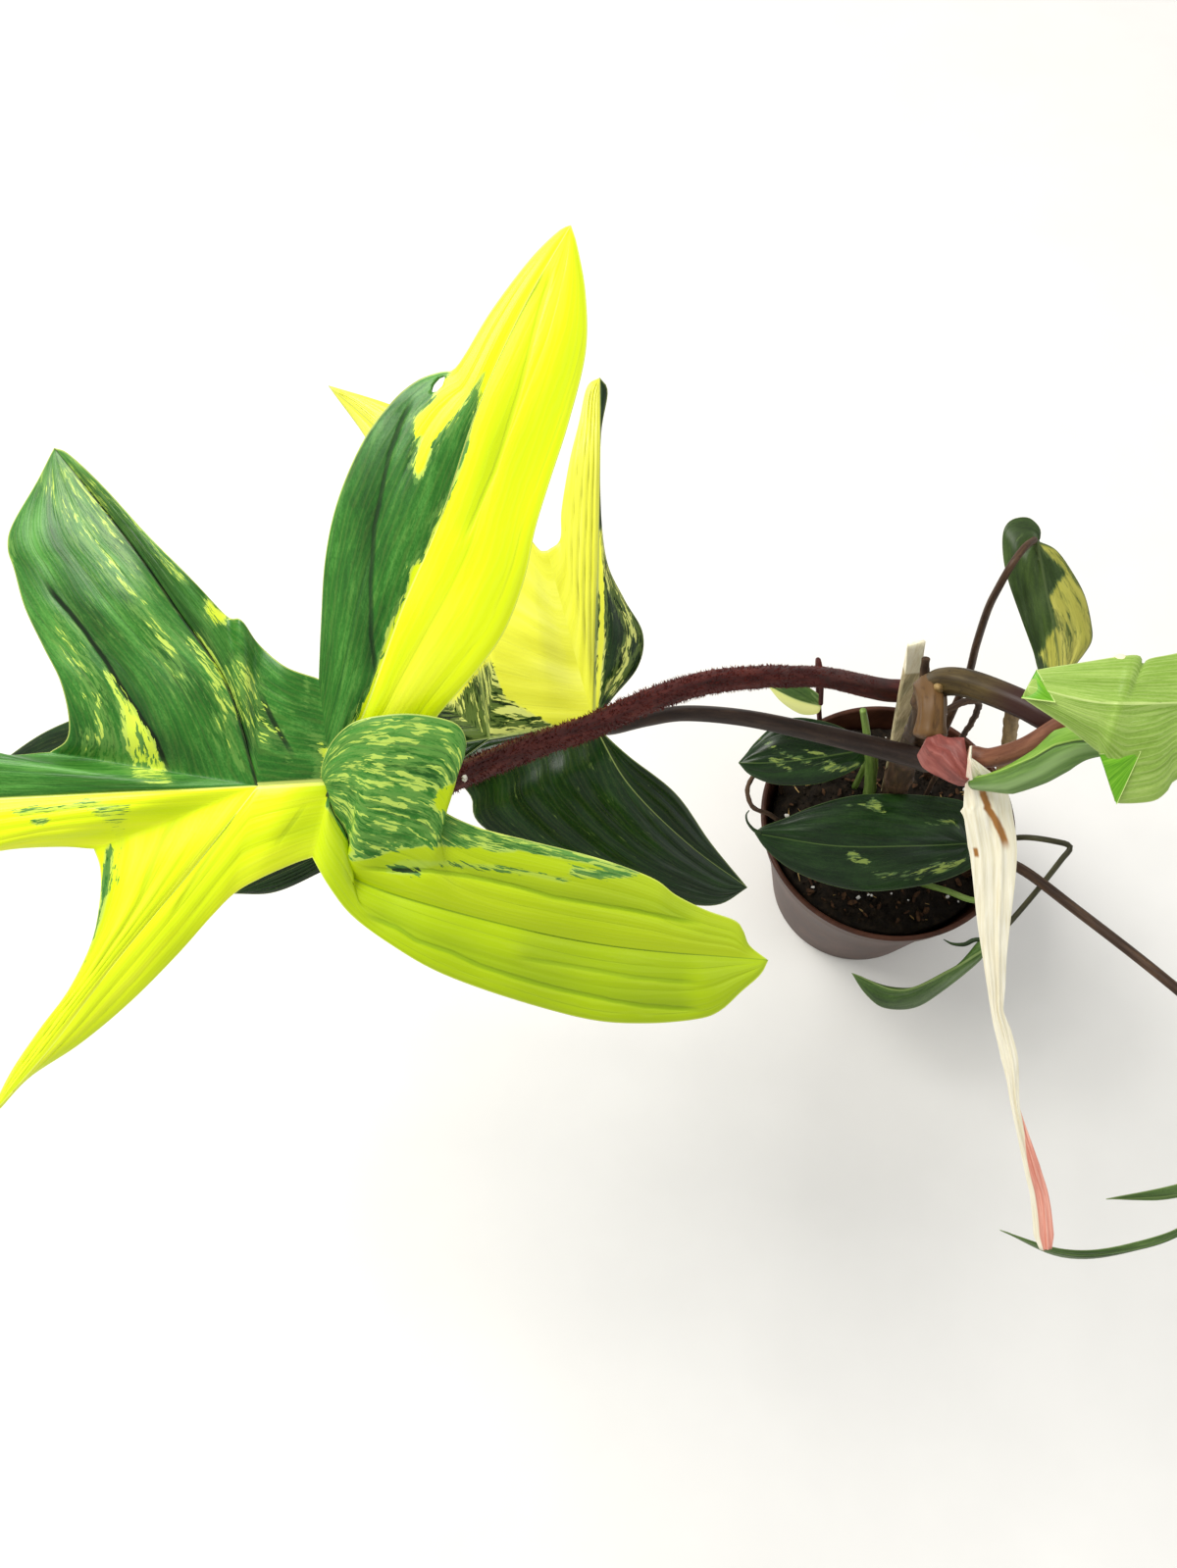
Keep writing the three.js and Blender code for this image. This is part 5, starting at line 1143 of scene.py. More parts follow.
SIDE_SHOOT = {
    "route": [[-6, 8, 68], [-6, 13.5, 88], [-7.5, 16, 118], [-11.5, 16.5, 142], [-15, 16, 158]],
    "widths": [4, 4, 3.8, 3.2, 2.6],
}
NODE_STUB = {"route": [[-17, -8, 244], [-17, -1, 249], [-17, 2, 255]], "widths": [4.6, 3.6, 2.8]}
RIM_ROOT = {
    "route": [[-45, 21, 76], [-46.5, 23, 91], [-48.5, 24.5, 102], [-58, 26, 108.5], [-65, 19, 111],
        [-65, 9, 109.5], [-56.5, 4, 107.5], [-49.5, 2, 98], [-46, 1, 76]],
    "widths": [2.4, 2.4, 2.2, 2.2, 2.4],
}
TAN_ROOT = {
    "route": [[0, -30, 279], [3.8, -28.8, 264], [8.1, -27.3, 249], [15.6, -24.4, 220], [24.6, -20.5, 177.6],
        [30, -16, 135], [31, -14, 88], [31, -14, 72]],
    "widths": [5, 4.8, 4.4, 4, 3.6, 3.2, 3],
}
DARK_ROOT = {
    "route": [[-9, -6, 222], [2, -2, 224], [12, 2, 216], [17, 5, 190], [17, 7, 140], [16, 4, 100],
        [16, 4, 72]],
    "widths": [2.8, 2.6, 2.4, 2.4, 2.2, 2.2],
}

# The swollen pink base of the sheaths, the long papery sheath that hangs from it, and the young
# two-keeled sheath that still holds a bud: the route, and both edges from it at shares of its length

SHEATH_BASE = {
    "route": [[-22, -31.5, 259.5], [-20.5, -37, 260.5], [-17.5, -43, 262.5], [-13.5, -48.5, 263]],
    "at": [0, 0.11, 0.29, 0.5, 0.6, 0.75, 0.92, 1],
    "left": [-4.3, -7.4, -8, -7, -6.4, -5.6, -4.4, -3.2],
    "right": [2.6, 3.4, 5.5, 8.2, 6.6, 3.8, 1.6, 0.6],
}
PALE_SHEATH = {
    "route": [[-14.7, -41, 273.8], [-14, -46.5, 271.5], [-10.5, -53.4, 262.5], [-9.3, -59.4, 257.6],
        [-7.3, -68.4, 250.8], [-7.1, -76.3, 245.3], [-7.3, -92.7, 233.4], [-6.7, -110.1, 221.7],
        [-5.5, -120.6, 214.5], [-2.8, -132.1, 207.5], [-1.4, -148.3, 198.4], [2.5, -166.9, 188.9],
        [5.2, -178.2, 183], [5.5, -193.8, 175.3]],
    "at": [0, 0.024, 0.029, 0.064, 0.097, 0.123, 0.13, 0.136, 0.195, 0.248, 0.358, 0.419, 0.473, 0.521,
        0.562, 0.618, 0.666, 0.72, 0.768, 0.836, 0.907, 0.973, 1],
    "left": [-0.8, -2.3, -2.4, -4.4, -6.2, -7, -8.6, -7.2, -7.9, -7, -5, -3.8, -3, -2.5, -2.5, -2.9, -1.8,
        -1.4, -1.6, -2.4, -3.4, -3.4, -1.7],
    "right": [0.1, -0.9, 0.5, 4.5, 7.4, 8.1, 8.2, 8.3, 7.9, 7.3, 5.4, 4, 3.1, 1.6, 2.9, 2.9, 2.3, 1.4, 2.2,
        3.1, 3.1, 3.5, 2.5],
}
GREEN_SHEATH = {
    "route": [[-13.8, -51.2, 264.5], [-10.5, -53.5, 272], [-7, -55.5, 279], [-1.5, -57, 290], [6, -58, 305],
        [15, -61, 311], [22, -63, 313]],
    "at": [0, 0.12, 0.25, 0.45, 0.6, 0.7, 0.85, 1],
    "left": [-1.6, -3.3, -5.2, -5.5, -5.2, -4.2, -3, -1.5],
    "right": [2.6, 2.8, 4, 5.8, 8, 7, 4, 1.5],
}

# Marks, in board millimetres: ("area", tone, outline), ("stroke", tone, width, line) or
# ("flecks", tone, width, line), whose edge is slow enough for the noise to break it up

FRONT_MARKS = [
    ("area", -9, [[0.5, 6.5], [5.5, 14.5], [10.5, 26], [14.5, 38], [18, 45.5], [19, 51], [21, 52.5],
        [22.5, 55], [25.5, 62.5], [28, 68], [31, 75], [33.5, 85], [35.5, 94.5], [36.5, 97.5], [33, 92],
        [29.5, 86.5], [26.5, 82.5], [23.5, 78.5], [22.5, 74.5], [20.5, 72.5], [19.5, 75], [20.5, 78.5],
        [22, 82.5], [19.5, 81], [19, 83], [20, 86.5], [24, 90.5], [28.5, 97.5], [28, 100], [16, 96],
        [0.5, 70.5], [-6.5, 38], [-6.5, 14]]),
    ("flecks", -2.4, 14, [[-62.5, 71.7], [-53.2, 55.3], [-43.9, 41.3], [-34.5, 25]]),
    ("flecks", -2.1, 8, [[-66, 76.3], [-57.9, 64.7], [-48.5, 46]]),
    ("flecks", -1.9, 7, [[-61.4, 36.7], [-56.7, 22.7], [-53.2, 8.7]]),
    ("flecks", -1.9, 7, [[-26.4, 13.3], [-17.7, 22.7], [-15.8, 11]]),
    ("area", 0.35, [[-48.5, 8], [-50, 17.5], [-53.5, 26.5], [-46.5, 16.5], [-41.5, 8.5], [-38, -0.5],
        [-44, 2]]),
    ("flecks", 0.4, 3, [[-47, 3], [-42, 1]]),
    ("area", -0.1, [[-50, -0.5], [-49.5, 4], [-44, 5], [-39.5, -0.5]]),
    ("flecks", -1, 3.5, [[-53, 6], [-54.5, 15], [-59, 26.5], [-65, 37.5]]),
    ("flecks", -1.45, 1.8, [[-33, 23.5], [-36, 29], [-41.5, 37], [-46.5, 43.5], [-51, 48.5], [-55.5, 56],
        [-61.5, 63.5], [-68, 71.5]]),
    ("flecks", -1, 3, [[-55.5, 66], [-58.5, 69], [-61.5, 72.5]]),
    ("flecks", -1, 3, [[-32, 33.5], [-29.5, 29.5], [-25, 22.5], [-22.5, 16.5]]),
    ("flecks", -1, 2.6, [[-23, 29.5], [-19.5, 23.5], [-17.5, 15], [-10, 6]]),
    ("flecks", -1, 2.4, [[-26.5, 13.5], [-24.5, 9], [-21, 3]]),
    ("flecks", -1, 2.4, [[-58, 12], [-58.5, 7.5]]),
    ("flecks", -1, 2.4, [[-76.5, 58.5], [-75.5, 52]]),
    ("flecks", -1, 2.4, [[-59.5, 76], [-55.5, 72.5]]),
    ("flecks", -1.5, 1.8, [[-68.5, 74.5], [-64.5, 68.5], [-59.5, 60]]),
    ("flecks", -1, 2.6, [[-51, 67.5], [-44, 59], [-35, 48.5]]),
    ("flecks", -0.5, 1.9, [[-62.5, 73.5], [-54.8, 64], [-48.1, 49.3], [-42.2, 36.7], [-35.7, 25]]),
    ("flecks", -1.3, 2.2, [[-64.9, 73.1], [-57.9, 63.5], [-50.9, 50.7], [-43.9, 39]]),
    ("flecks", -1.2, 2, [[-68.4, 72.8], [-64.9, 67], [-60.2, 62.3]]),
    ("flecks", -0.3, 3, [[-31, 33.2], [-27.1, 25], [-22.8, 16.8]]),
    ("area", 0.5, [[-29.4, 43.2], [-27.1, 40.9], [-24.7, 39.5], [-25.7, 37.6], [-27.5, 37.1],
        [-29.9, 40.2]]),
    ("flecks", -0.7, 3.5, [[-23.3, 25], [-20, 19.2], [-16.8, 13.3]]),
    ("area", -1.2, [[-56.9, -5.1], [-49.5, -5.8], [-49.9, -8.1], [-52.7, -9.3], [-55.5, -7.7]]),
    ("flecks", 0.15, 2.6, [[-75.4, -7.4], [-64.9, -6.3], [-57.9, -5.3]]),
    ("area", -1.5, [[-71.4, -9.1], [-67.2, -8.8], [-68.1, -10], [-70.9, -10]]),
    ("flecks", 0.8, 7, [[-50, -8], [-50, -16], [-51, -23]]),
    ("flecks", 0.9, 2.2, [[-52.7, -15.1], [-52.3, -18.2]]),
    ("stroke", -3, 1.6, [[-52.7, -16.5], [-53.2, -21.7], [-53.9, -26.4], [-55.3, -32.2], [-57.2, -36.9],
        [-59.3, -41.3], [-60.9, -45]]),
    ("area", -0.2, [[5.6, -17.7], [14.5, -14.7], [23.8, -13.7], [33.2, -14.2], [42.5, -15.6], [51.8, -17.5],
        [61.2, -19.3], [72.8, -21.9], [70.5, -20.5], [61.2, -17], [47.2, -12.3], [33.2, -9.5], [23.8, -6.5],
        [19.2, -8.8], [9.8, -12.3]]),
    ("stroke", -4, 1.8, [[5.4, -17.7], [9.8, -17], [14.5, -15.1], [21.5, -14.2], [30.8, -14.2],
        [34.6, -14.4]]),
    ("stroke", -2.5, 1.4, [[36.7, -15.1], [40.2, -15.8], [43.4, -15.8]]),
    ("stroke", -2.2, 1.6, [[14, -20.7], [17.8, -21], [20.6, -21]]),
    ("stroke", -2.2, 1.4, [[57.7, -21.2], [61.2, -21.9], [70.5, -21.9]]),
    ("flecks", 0.2, 2.4, [[16.8, -19.3], [26.2, -19.3], [37.8, -20.3], [47.2, -21.7], [55.3, -23.6]]),
    ("area", -1.2, [[7, -16.1], [5.6, -12.3], [9.4, -9.5], [19.2, -9.5], [23.8, -12.3], [19.2, -13.7],
        [13.3, -14.7]]),
    ("only", (8, 9), ("area", -0.9, [[-4.6, -0.7], [-1.8, 12.2], [8.7, 19.9], [26.2, 17.5], [35.5, 9.1],
        [32.7, 1.2], [25.7, -1.4], [23.8, -3.9], [25.2, -7.2], [33.2, -9.5], [42.5, -12.3], [33.2, -12.8],
        [23.8, -12.3], [14.5, -13.7], [5.6, -16.5], [1.7, -10]])),
]
REAR_MARKS = [
    ("area", -0.4, [[-47.5, 2.5], [-32.5, 20.5], [-28.5, 9], [-20, 3.5], [-11.5, -1.5], [-40, -6]]),
    ("flecks", -0.3, 6, [[4.5, 48], [9.5, 36.5], [12, 28], [9, 19], [5, 11]]),
    ("stroke", 5, 2.2, [[1.5, 60], [2.5, 43], [2.5, 27], [0.5, 3.5]]),
]
UPRIGHT_MARKS = [("area", 0.7, [[1, -1.5], [11, -12], [5.5, -21], [7.5, -32], [2, -42.5], [9, -55],
    [13.5, -48.5], [18.5, -42], [21, -37.5], [21, -32], [18.5, -21], [13.5, -11.5], [7.5, -3.5]])]
POT_MARKS = [
    ("flecks", -0.9, 3.5, [[-44, 17], [-38, 14]]),
    ("flecks", -0.2, 2.2, [[-43, 19], [-40, 17]]),
    ("flecks", -0.9, 5, [[-52, -6], [-40, -14], [-24, -14], [-12, -8]]),
    ("flecks", 0, 2.5, [[-53, -4], [-47, -8]]),
    ("flecks", 0.1, 2.5, [[-22, -13], [-16, -11]]),
    ("flecks", 0.2, 2.6, [[-14, -11.5], [-8, -9.5], [-3, -7]]),
    ("flecks", -0.1, 1.8, [[-57, 16.5], [-49, 17], [-39, 15]]),
    ("flecks", -0.8, 3.5, [[-20, 8], [-8, 10], [-3, 6]]),
]
BACK_MARKS = [
    ("flecks", -0.8, 5, [[-46, 6], [-30, -4], [-14, -8]]),
    ("flecks", -0.1, 2.6, [[-40, -4], [-32, -8]]),
    ("flecks", -0.2, 2.6, [[-27, 1], [-16, -2]]),
    ("flecks", 0.1, 3, [[-15, -6], [-6, -9], [-2, -6]]),
]

# Creases of the half-lobes, by number: (depth, darkness of the painted crease shade, line)

FRONT_CREASES = {
    2: [(0.75, 1, [[-69.3, 49.5], [-65.6, 43.9], [-62.3, 40.4], [-58.3, 35.3], [-53.9, 29], [-49.9, 22.4],
        [-46, 16.4], [-41.5, 9.6], [-37.6, 0.3]])],
    3: [
        (0.7, 1, [[-64.4, 74.7], [-57.9, 68.9], [-54.1, 64.4], [-46.9, 55.3], [-43.2, 50.4], [-39.4, 44.6],
            [-35.2, 38.1], [-32.2, 33.9], [-27.8, 22.9], [-21.9, 14], [-20.5, 10.5], [-17.9, 4.5]]),
        (0.7, 0.9, [[-8.1, 4.5], [-11.8, 11.2], [-14.3, 15.5], [-16.2, 19.9], [-17.9, 22.9]]),
        (0.6, 0.9, [[-21.9, 32.9], [-23.6, 30.1], [-25.2, 27.1]]),
    ],
    4: [(0.8, 0.7, [[11, 22.7], [9.6, 35.5], [9.6, 48.3], [10.4, 60], [12.2, 69.3], [13.9, 77.5],
        [16.8, 85.7], [20.1, 92.2]])],
    5: [(0.7, 0.5, [[30.8, 55.3], [39, 74], [44.8, 92.7], [49.5, 111.4], [53, 123]])],
    6: [(0.5, 0.5, [[-35.9, -7], [-40.4, -14.2], [-43.2, -21.4], [-45.7, -28.9], [-50.9, -36.9],
        [-57.9, -47.4]])],
    7: [
        (0.6, 0.5, [[-21.2, -6.3], [-25, -12.1], [-29.4, -18.6], [-35.2, -27.3], [-39.4, -33.8]]),
        (0.5, 0.5, [[-5.1, -3.9], [-8.8, -9.1], [-12.6, -14.2], [-14, -17.5]]),
    ],
    8: [
        (1, 0.9, [[6.8, -31.3], [15.7, -34.8], [20.1, -37.8], [28.3, -40.6], [35.5, -43.9], [42.7, -46.2],
            [50, -48.3], [57.4, -50.2], [66.1, -52], [74.9, -53.4], [89.2, -54.4]]),
        (0.7, 0.6, [[42.5, -41.5], [56.5, -43.9], [72.8, -46.7], [89.2, -48.1]]),
    ],
    9: [(0.9, 0.9, [[5.9, -20.3], [14.3, -21], [23.8, -21.2], [32.5, -22.4], [42.7, -24.5], [53, -27.5],
        [61.6, -28.9], [72.8, -30.8], [89.2, -34.3]])],
}
NEW_CREASES = {
    0: [(-1.5, 0.3, [[-51, 6], [-51.5, 1.4], [-53.5, -5], [-55.5, -12], [-57, -20]])],
    1: [
        (-1.5, 0.3, [[-50, 12], [-50.6, 6], [-51.5, 1.4], [-53.5, -5]]),
        (0.5, 0.3, [[-26, 15], [-30, 9], [-38, 2]]),
    ],
}


# Pot, soil and stake

SOIL_LEVEL, POT_FLOOR = 88, 2.5


def lathe(profile, sides):
    """Turns a closed profile (radius, height), from the axis out and back, about the pot's axis."""
    profile = np.asarray(profile, float)
    angle = np.linspace(0, 2 * np.pi, sides, endpoint=False)
    turned = np.stack([profile[:, :1] * np.cos(angle), profile[:, :1] * np.sin(angle),
                       profile[:, 1:] + 0 * angle], -1)
    points, faces = loft(turned[1:-1])
    points[-2:] = [[0, 0, profile[0, 1]], [0, 0, profile[-1, 1]]]
    return points, faces


def soil_height(x, y):
    """Height of the loose soil's surface: low waves about its level."""
    return SOIL_LEVEL + 1.1 * np.sin(x * 0.21 + 1) * np.cos(y * 0.17) + 0.6 * np.sin(x * 0.53 - y * 0.41)


POT_PROFILE = [
    [0, 0], [20, 0], [41.5, 0], [42.9, 0.2], [43.4, 0.9], [43.7, 2.5], [47.5, 29], [51.5, 57], [55.6, 85.2],
    [55.9, 85.9], [57.2, 86.6], [57.9, 87.4], [58.2, 89], [58.8, 96.4], [59.2, 97.2], [59.8, 97.9],
    [60, 98.8], [59.8, 99.5], [59.2, 99.9], [58.6, 100], [58, 99.8], [57.6, 99.3], [57.4, 98],
    [55.9, 88.2], [55.6, 86.5], [42.2, 4], [41.6, 2.6], [40.6, 2.2], [20, 2.2], [0, 2.2],
]


def soil_mound():
    """A closed plug of soil: its top follows the low waves and stands up in small crumbs."""
    rising, sides = 8, 180
    radius = np.concatenate([[0, 30], np.linspace(41.5, 53.4, rising), np.linspace(52.9, 0, 60)])
    angle = np.linspace(0, 2 * np.pi, sides, endpoint=False)
    x, y = radius[:, None] * np.cos(angle), radius[:, None] * np.sin(angle)
    xy = np.stack([x, y], -1)
    crumbs = 0.8 * ripple(xy, 7, 3) + 0.5 * ripple(xy, 3.2, 4) + 0.35 * ripple(xy, 1.6, 5)
    top = soil_height(x, y) + crumbs
    low = np.concatenate([[POT_FLOOR, POT_FLOOR], np.linspace(POT_FLOOR, SOIL_LEVEL - 2, rising)])
    z = np.vstack([low[:, None] + 0 * angle, top[len(low):]])
    return loft(np.stack([x, y, z], -1)[1:-1])


def split_lath():
    """Square lath with eased edges, long splinters along it and a slanting top."""
    foot, top = np.array([13.5, 19, 22.]), np.array([-20.8, 5, 259.5])
    half_wide, half_deep, squareness = 3, 2, 0.22
    share = np.linspace(0, 1, 80)
    angle = np.linspace(0, 2 * np.pi, 40, endpoint=False)
    x = np.sign(np.cos(angle)) * np.abs(np.cos(angle)) ** squareness
    y = np.sign(np.sin(angle)) * np.abs(np.sin(angle)) ** squareness
    size = np.interp(share, [0, 0.15, 0.5, 0.8, 1], [0.5, 0.76, 0.8, 1, 1])[:, None]
    grain = 1 + 0.04 * np.sin(angle * 7 + 1) * np.sin(share[:, None] * 5 + 2) + 0.03 * np.sin(angle * 13)
    centre = foot + (top - foot) * share[:, None]
    rings = centre[:, None] + np.stack([half_wide * size * x * grain, half_deep * size * y * grain,
                                        0 * size * x], -1)
    cut = np.clip((share[:, None] - 0.93) / 0.07, 0, 1) * 3.1
    rings[..., 1] = np.maximum(rings[..., 1], centre[:, 1, None] - 2.2 + cut)
    rings[-1, :, 2] += 0.8 * x
    return loft(rings)


points, faces = lathe(POT_PROFILE, 160)
piece("nursery_pot", points, faces, pot_finish, ["pot"])
points, faces = soil_mound()
piece("potting_soil", points, [f[:, ::-1] for f in faces], soil_finish, ["soil"])
points, faces = split_lath()
piece("split_stake", points, faces, stake_finish, ["stake"])


# Stem, petioles and roots

def joints_of_stem(along, angle, share):
    """Rings of leaf scars: a swelling at even steps with a small groove above it, and uneven bark."""
    step, middle = 34, 17
    place = (along + 8) % step
    ring = 0.9 * np.exp(-((place - middle) / 3.2) ** 2) - 0.5 * np.exp(-((place - middle - 4.5) / 1.1) ** 2)
    bark = 0.25 * np.sin(angle * 5 + along * 0.21) + 0.18 * np.sin(angle * 9 - along * 0.13 + 1)
    return (ring + bark) * ease(share * 6)


def fluted(along, angle, share):
    """Shallow long ridges that wander round a petiole."""
    return 0.1 * np.sin(angle * 6 + along * 0.03) + 0.06 * np.sin(angle * 11 - along * 0.05)


def knotted(along, angle, share):
    """The uneven girth of an old root."""
    return 0.16 * np.sin(along * 0.55 + angle) + 0.12 * np.sin(along * 1.3 + 2 * angle + 1)


stalk("climbing_stem", STEM, stem_finish, ["stem"], sides=40, relief=joints_of_stem)
for name, spec, finish, slot_name, relief in [
    ("petiole_front", FRONT_PETIOLE, maroon, "petiole", fluted),
    ("petiole_rear", REAR_PETIOLE, dusky, "petiole", fluted),
    ("petiole_right", RIGHT_PETIOLE, arch_finish, "petiole", fluted),
    ("petiole_new", NEW_PETIOLE, young_finish, "young_petiole", fluted),
    ("petiole_low", LOW_PETIOLE, brown, "petiole", fluted),
    ("petiole_upright", UPRIGHT_PETIOLE, brown, "petiole", None),
    ("petiole_pot", POT_PETIOLE, fresh_finish, "green_petiole", None),
    ("petiole_back", BACK_PETIOLE, fresh_finish, "green_petiole", None),
    ("petiole_small", SMALL_PETIOLE, maroon, "petiole", None),
    ("petiole_knee", KNEE_PETIOLE, olive, "petiole", None),
    ("green_shoot", GREEN_SHOOT, fresh_finish, "green_petiole", None),
    ("side_shoot", SIDE_SHOOT, fresh_finish, "green_petiole", None),
    ("node_stub", NODE_STUB, root_finish, "root", knotted),
    ("root_rim", RIM_ROOT, root_finish, "root", knotted),
    ("root_tan", TAN_ROOT, tan_finish, "stem", knotted),
    ("root_dark", DARK_ROOT, root_finish, "root", knotted),
]:
    node = "green_shoot" if name == "side_shoot" else name
    stalk(name, spec, finish, [node], relief=relief)


# Sheaths

def sheath(name, spec, section, finish, sides=96, pitch=1.3):
    """A sheath that hangs or stands along its route. Left and right give its two edges from the route's
    line, and section(share, x) the front and back height of its wall for x from -1 (left) to 1."""
    route = spec["route"]
    length = run_of(smooth_curve(route))[-1]
    shares = np.linspace(0, 1, int(length / pitch))
    front = unit(EYE - np.array(route[len(route) // 2], float))
    centre, along, sideways, towards = carried(route, shares, front)
    left, right = (np.interp(shares, spec["at"], spec[edge])[:, None] for edge in ("left", "right"))
    angle = np.linspace(0, 2 * np.pi, sides, endpoint=False)
    x = np.cos(angle) + 0 * shares[:, None]
    across = (left + right) / 2 + x * (right - left) / 2
    ahead, behind = section(shares[:, None], x)
    closing = np.abs(np.sin(angle)) ** 0.5
    out = (ahead + behind) / 2 + (ahead - behind) / 2 * closing * np.sign(np.sin(angle))
    rings = centre[:, None] + sideways[:, None] * across[..., None] + towards[:, None] * out[..., None]
    points, faces = loft(rings)
    skin = np.stack([shares[:, None] * length + 0 * out, across, out], -1)
    return piece(name, points, faces, finish, [name], point={
        "skin": with_poles(skin, [0, 0, 0], [length, 0, 0]),
        "share": with_poles(shares[:, None] + 0 * out, 0, 1), "across": with_poles(x, 0, 0)})


def papery(share, x):
    """A thin dry wall with long folds; lower down its left strip lies forward over the inner side."""
    half_thick = 0.27
    folds = (0.9 * np.exp(-((x - 0.3) / 0.12) ** 2) - 0.6 * np.exp(-((x - 0.05) / 0.12) ** 2)
             + 0.7 * np.exp(-((x + 0.55) / 0.14) ** 2) + 0.05 * np.sin(15 * x + 3 * np.sin(9 * share)))
    folds = folds * (1 - 0.5 * ease((share - 0.35) / 0.3)) * ease(share / 0.06)
    strip = 0.7 * ease((-0.15 - x) / 0.25) * ease((share - 0.68) / 0.08)
    wave = 0.5 * np.sin(share * 26) * x + 0.25 * np.sin(share * 61 + x * 2)
    middle = folds + strip + wave * (1 - ease((share - 0.85) / 0.15)) * 0.6 - 0.5 * x ** 2
    return middle + half_thick, middle - half_thick


def keeled(share, x):
    """A plump folded sheath: a slit parts its round body below from a flatter flap above."""
    swell = 3 * np.sqrt(np.clip(1 - x ** 2, 0, 1)) * (0.45 + 0.55 * np.sin(np.pi * np.clip(share, 0.12, 0.9)))
    parting = x - 0.75 + 1.25 * np.clip(share - 0.2, 0, 0.6)
    slit = 1.5 * np.exp(-(parting / 0.09) ** 2) * ease((share - 0.15) / 0.2)
    flap = 1.1 * ease(parting / 0.2) * ease((share - 0.2) / 0.2)
    return swell - slit - flap + 0.15, -0.8 * swell - 0.15


def folded(share, x):
    """A plump sheath base: a ridge runs down its left, and its right edge stands free over the petiole."""
    left = (1 - np.abs(np.minimum(x, 0)) ** 1.9) * (1 - 0.15 * np.maximum(x, 0) ** 2)
    body = 5.6 * left * (0.7 + 0.3 * np.sin(np.pi * share))
    ridge = x + 0.22 + 0.1 * share
    crest = 1.2 * np.exp(-np.abs(ridge) / 0.2) - 0.6 * np.exp(-((ridge - 0.45) / 0.14) ** 2)
    ahead = body + crest * ease(share / 0.2) * ease((1 - share) / 0.1) + 0.3
    lip = ease((x - 0.25) / 0.6)
    return ahead, (-0.75 * body - 0.3) * (1 - lip) + (ahead - 0.7) * lip


sheath("sheath_pale", PALE_SHEATH, papery, pale_finish)
sheath("sheath_green", GREEN_SHEATH, keeled, bud_finish)
sheath("sheath_base", SHEATH_BASE, folded, base_finish, pitch=0.4)


# Loose bits on the soil, and the fuzz on the front petiole

def turns(count, rng):
    """Random rotation matrices, one for each quaternion drawn."""
    w, x, y, z = unit(rng.normal(size=(count, 4))).T
    return np.stack([
        np.stack([1 - 2 * (y * y + z * z), 2 * (x * y - w * z), 2 * (x * z + w * y)], -1),
        np.stack([2 * (x * y + w * z), 1 - 2 * (x * x + z * z), 2 * (y * z - w * x)], -1),
        np.stack([2 * (x * z - w * y), 2 * (y * z + w * x), 1 - 2 * (x * x + y * y)], -1),
    ], 1)


BALL = np.array([[0, 0, 1], [0.9, 0, 0.45], [0.28, 0.85, 0.45], [-0.72, 0.53, 0.45], [-0.72, -0.53, 0.45],
                 [0.28, -0.85, 0.45], [0.72, 0.53, -0.45], [-0.28, 0.85, -0.45], [-0.9, 0, -0.45],
                 [-0.28, -0.85, -0.45], [0.72, -0.53, -0.45], [0, 0, -1]])
BALL_FACES = np.array([[0, 1, 2], [0, 2, 3], [0, 3, 4], [0, 4, 5], [0, 5, 1], [1, 6, 2], [2, 7, 3], [3, 8, 4],
                       [4, 9, 5], [5, 10, 1], [6, 7, 2], [7, 8, 3], [8, 9, 4], [9, 10, 5], [10, 6, 1],
                       [11, 7, 6], [11, 8, 7], [11, 9, 8], [11, 10, 9], [11, 6, 10]])
STREWN_RADIUS = 50


def scattered(name, count, sizes, stretch, finish, seed, lift=0.3, spots=()):
    """Rough grains strewn over the soil: a twenty-sided ball, dented, drawn out and turned at random. The
    first grains lie at the given spots."""
    rng = np.random.default_rng(seed)
    away, angle = STREWN_RADIUS * np.sqrt(rng.uniform(0, 1, count)), rng.uniform(0, 2 * np.pi, count)
    x, y = away * np.cos(angle), away * np.sin(angle)
    for k, spot in enumerate(spots):
        x[k], y[k] = spot
    size = rng.uniform(*sizes, count)
    grain = BALL * rng.uniform(0.75, 1.15, (count, len(BALL), 1)) * stretch * size[:, None, None] / 2
    lie = turns(count, rng)
    flat = np.einsum("nij,nkj->nki", lie, grain) * [1, 1, 0.7]
    ground = np.stack([x, y, soil_height(x, y) + lift * size + 0.5], -1)
    faces = BALL_FACES + len(BALL) * np.arange(count)[:, None, None]
    piece(name, (flat + ground[:, None]).reshape(-1, 3), [faces.reshape(-1, 3)], finish, flat=(0,))


scattered("perlite_grains", 34, (1.2, 3.0), [1, 0.9, 0.8], perlite_finish, 11, spots=[[-32, -1], [5, -38]])
scattered("bark_chips", 260, (2.0, 6.5), [1, 0.5, 0.25], bark_finish, 12, lift=0.05)
scattered("peat_crumbs", 900, (1.0, 2.6), [1, 0.8, 0.6], soil_finish, 13, lift=0.1)
scattered("straw_bits", 60, (4, 10), [1, 0.09, 0.06], straw_finish, 14, lift=0.03)


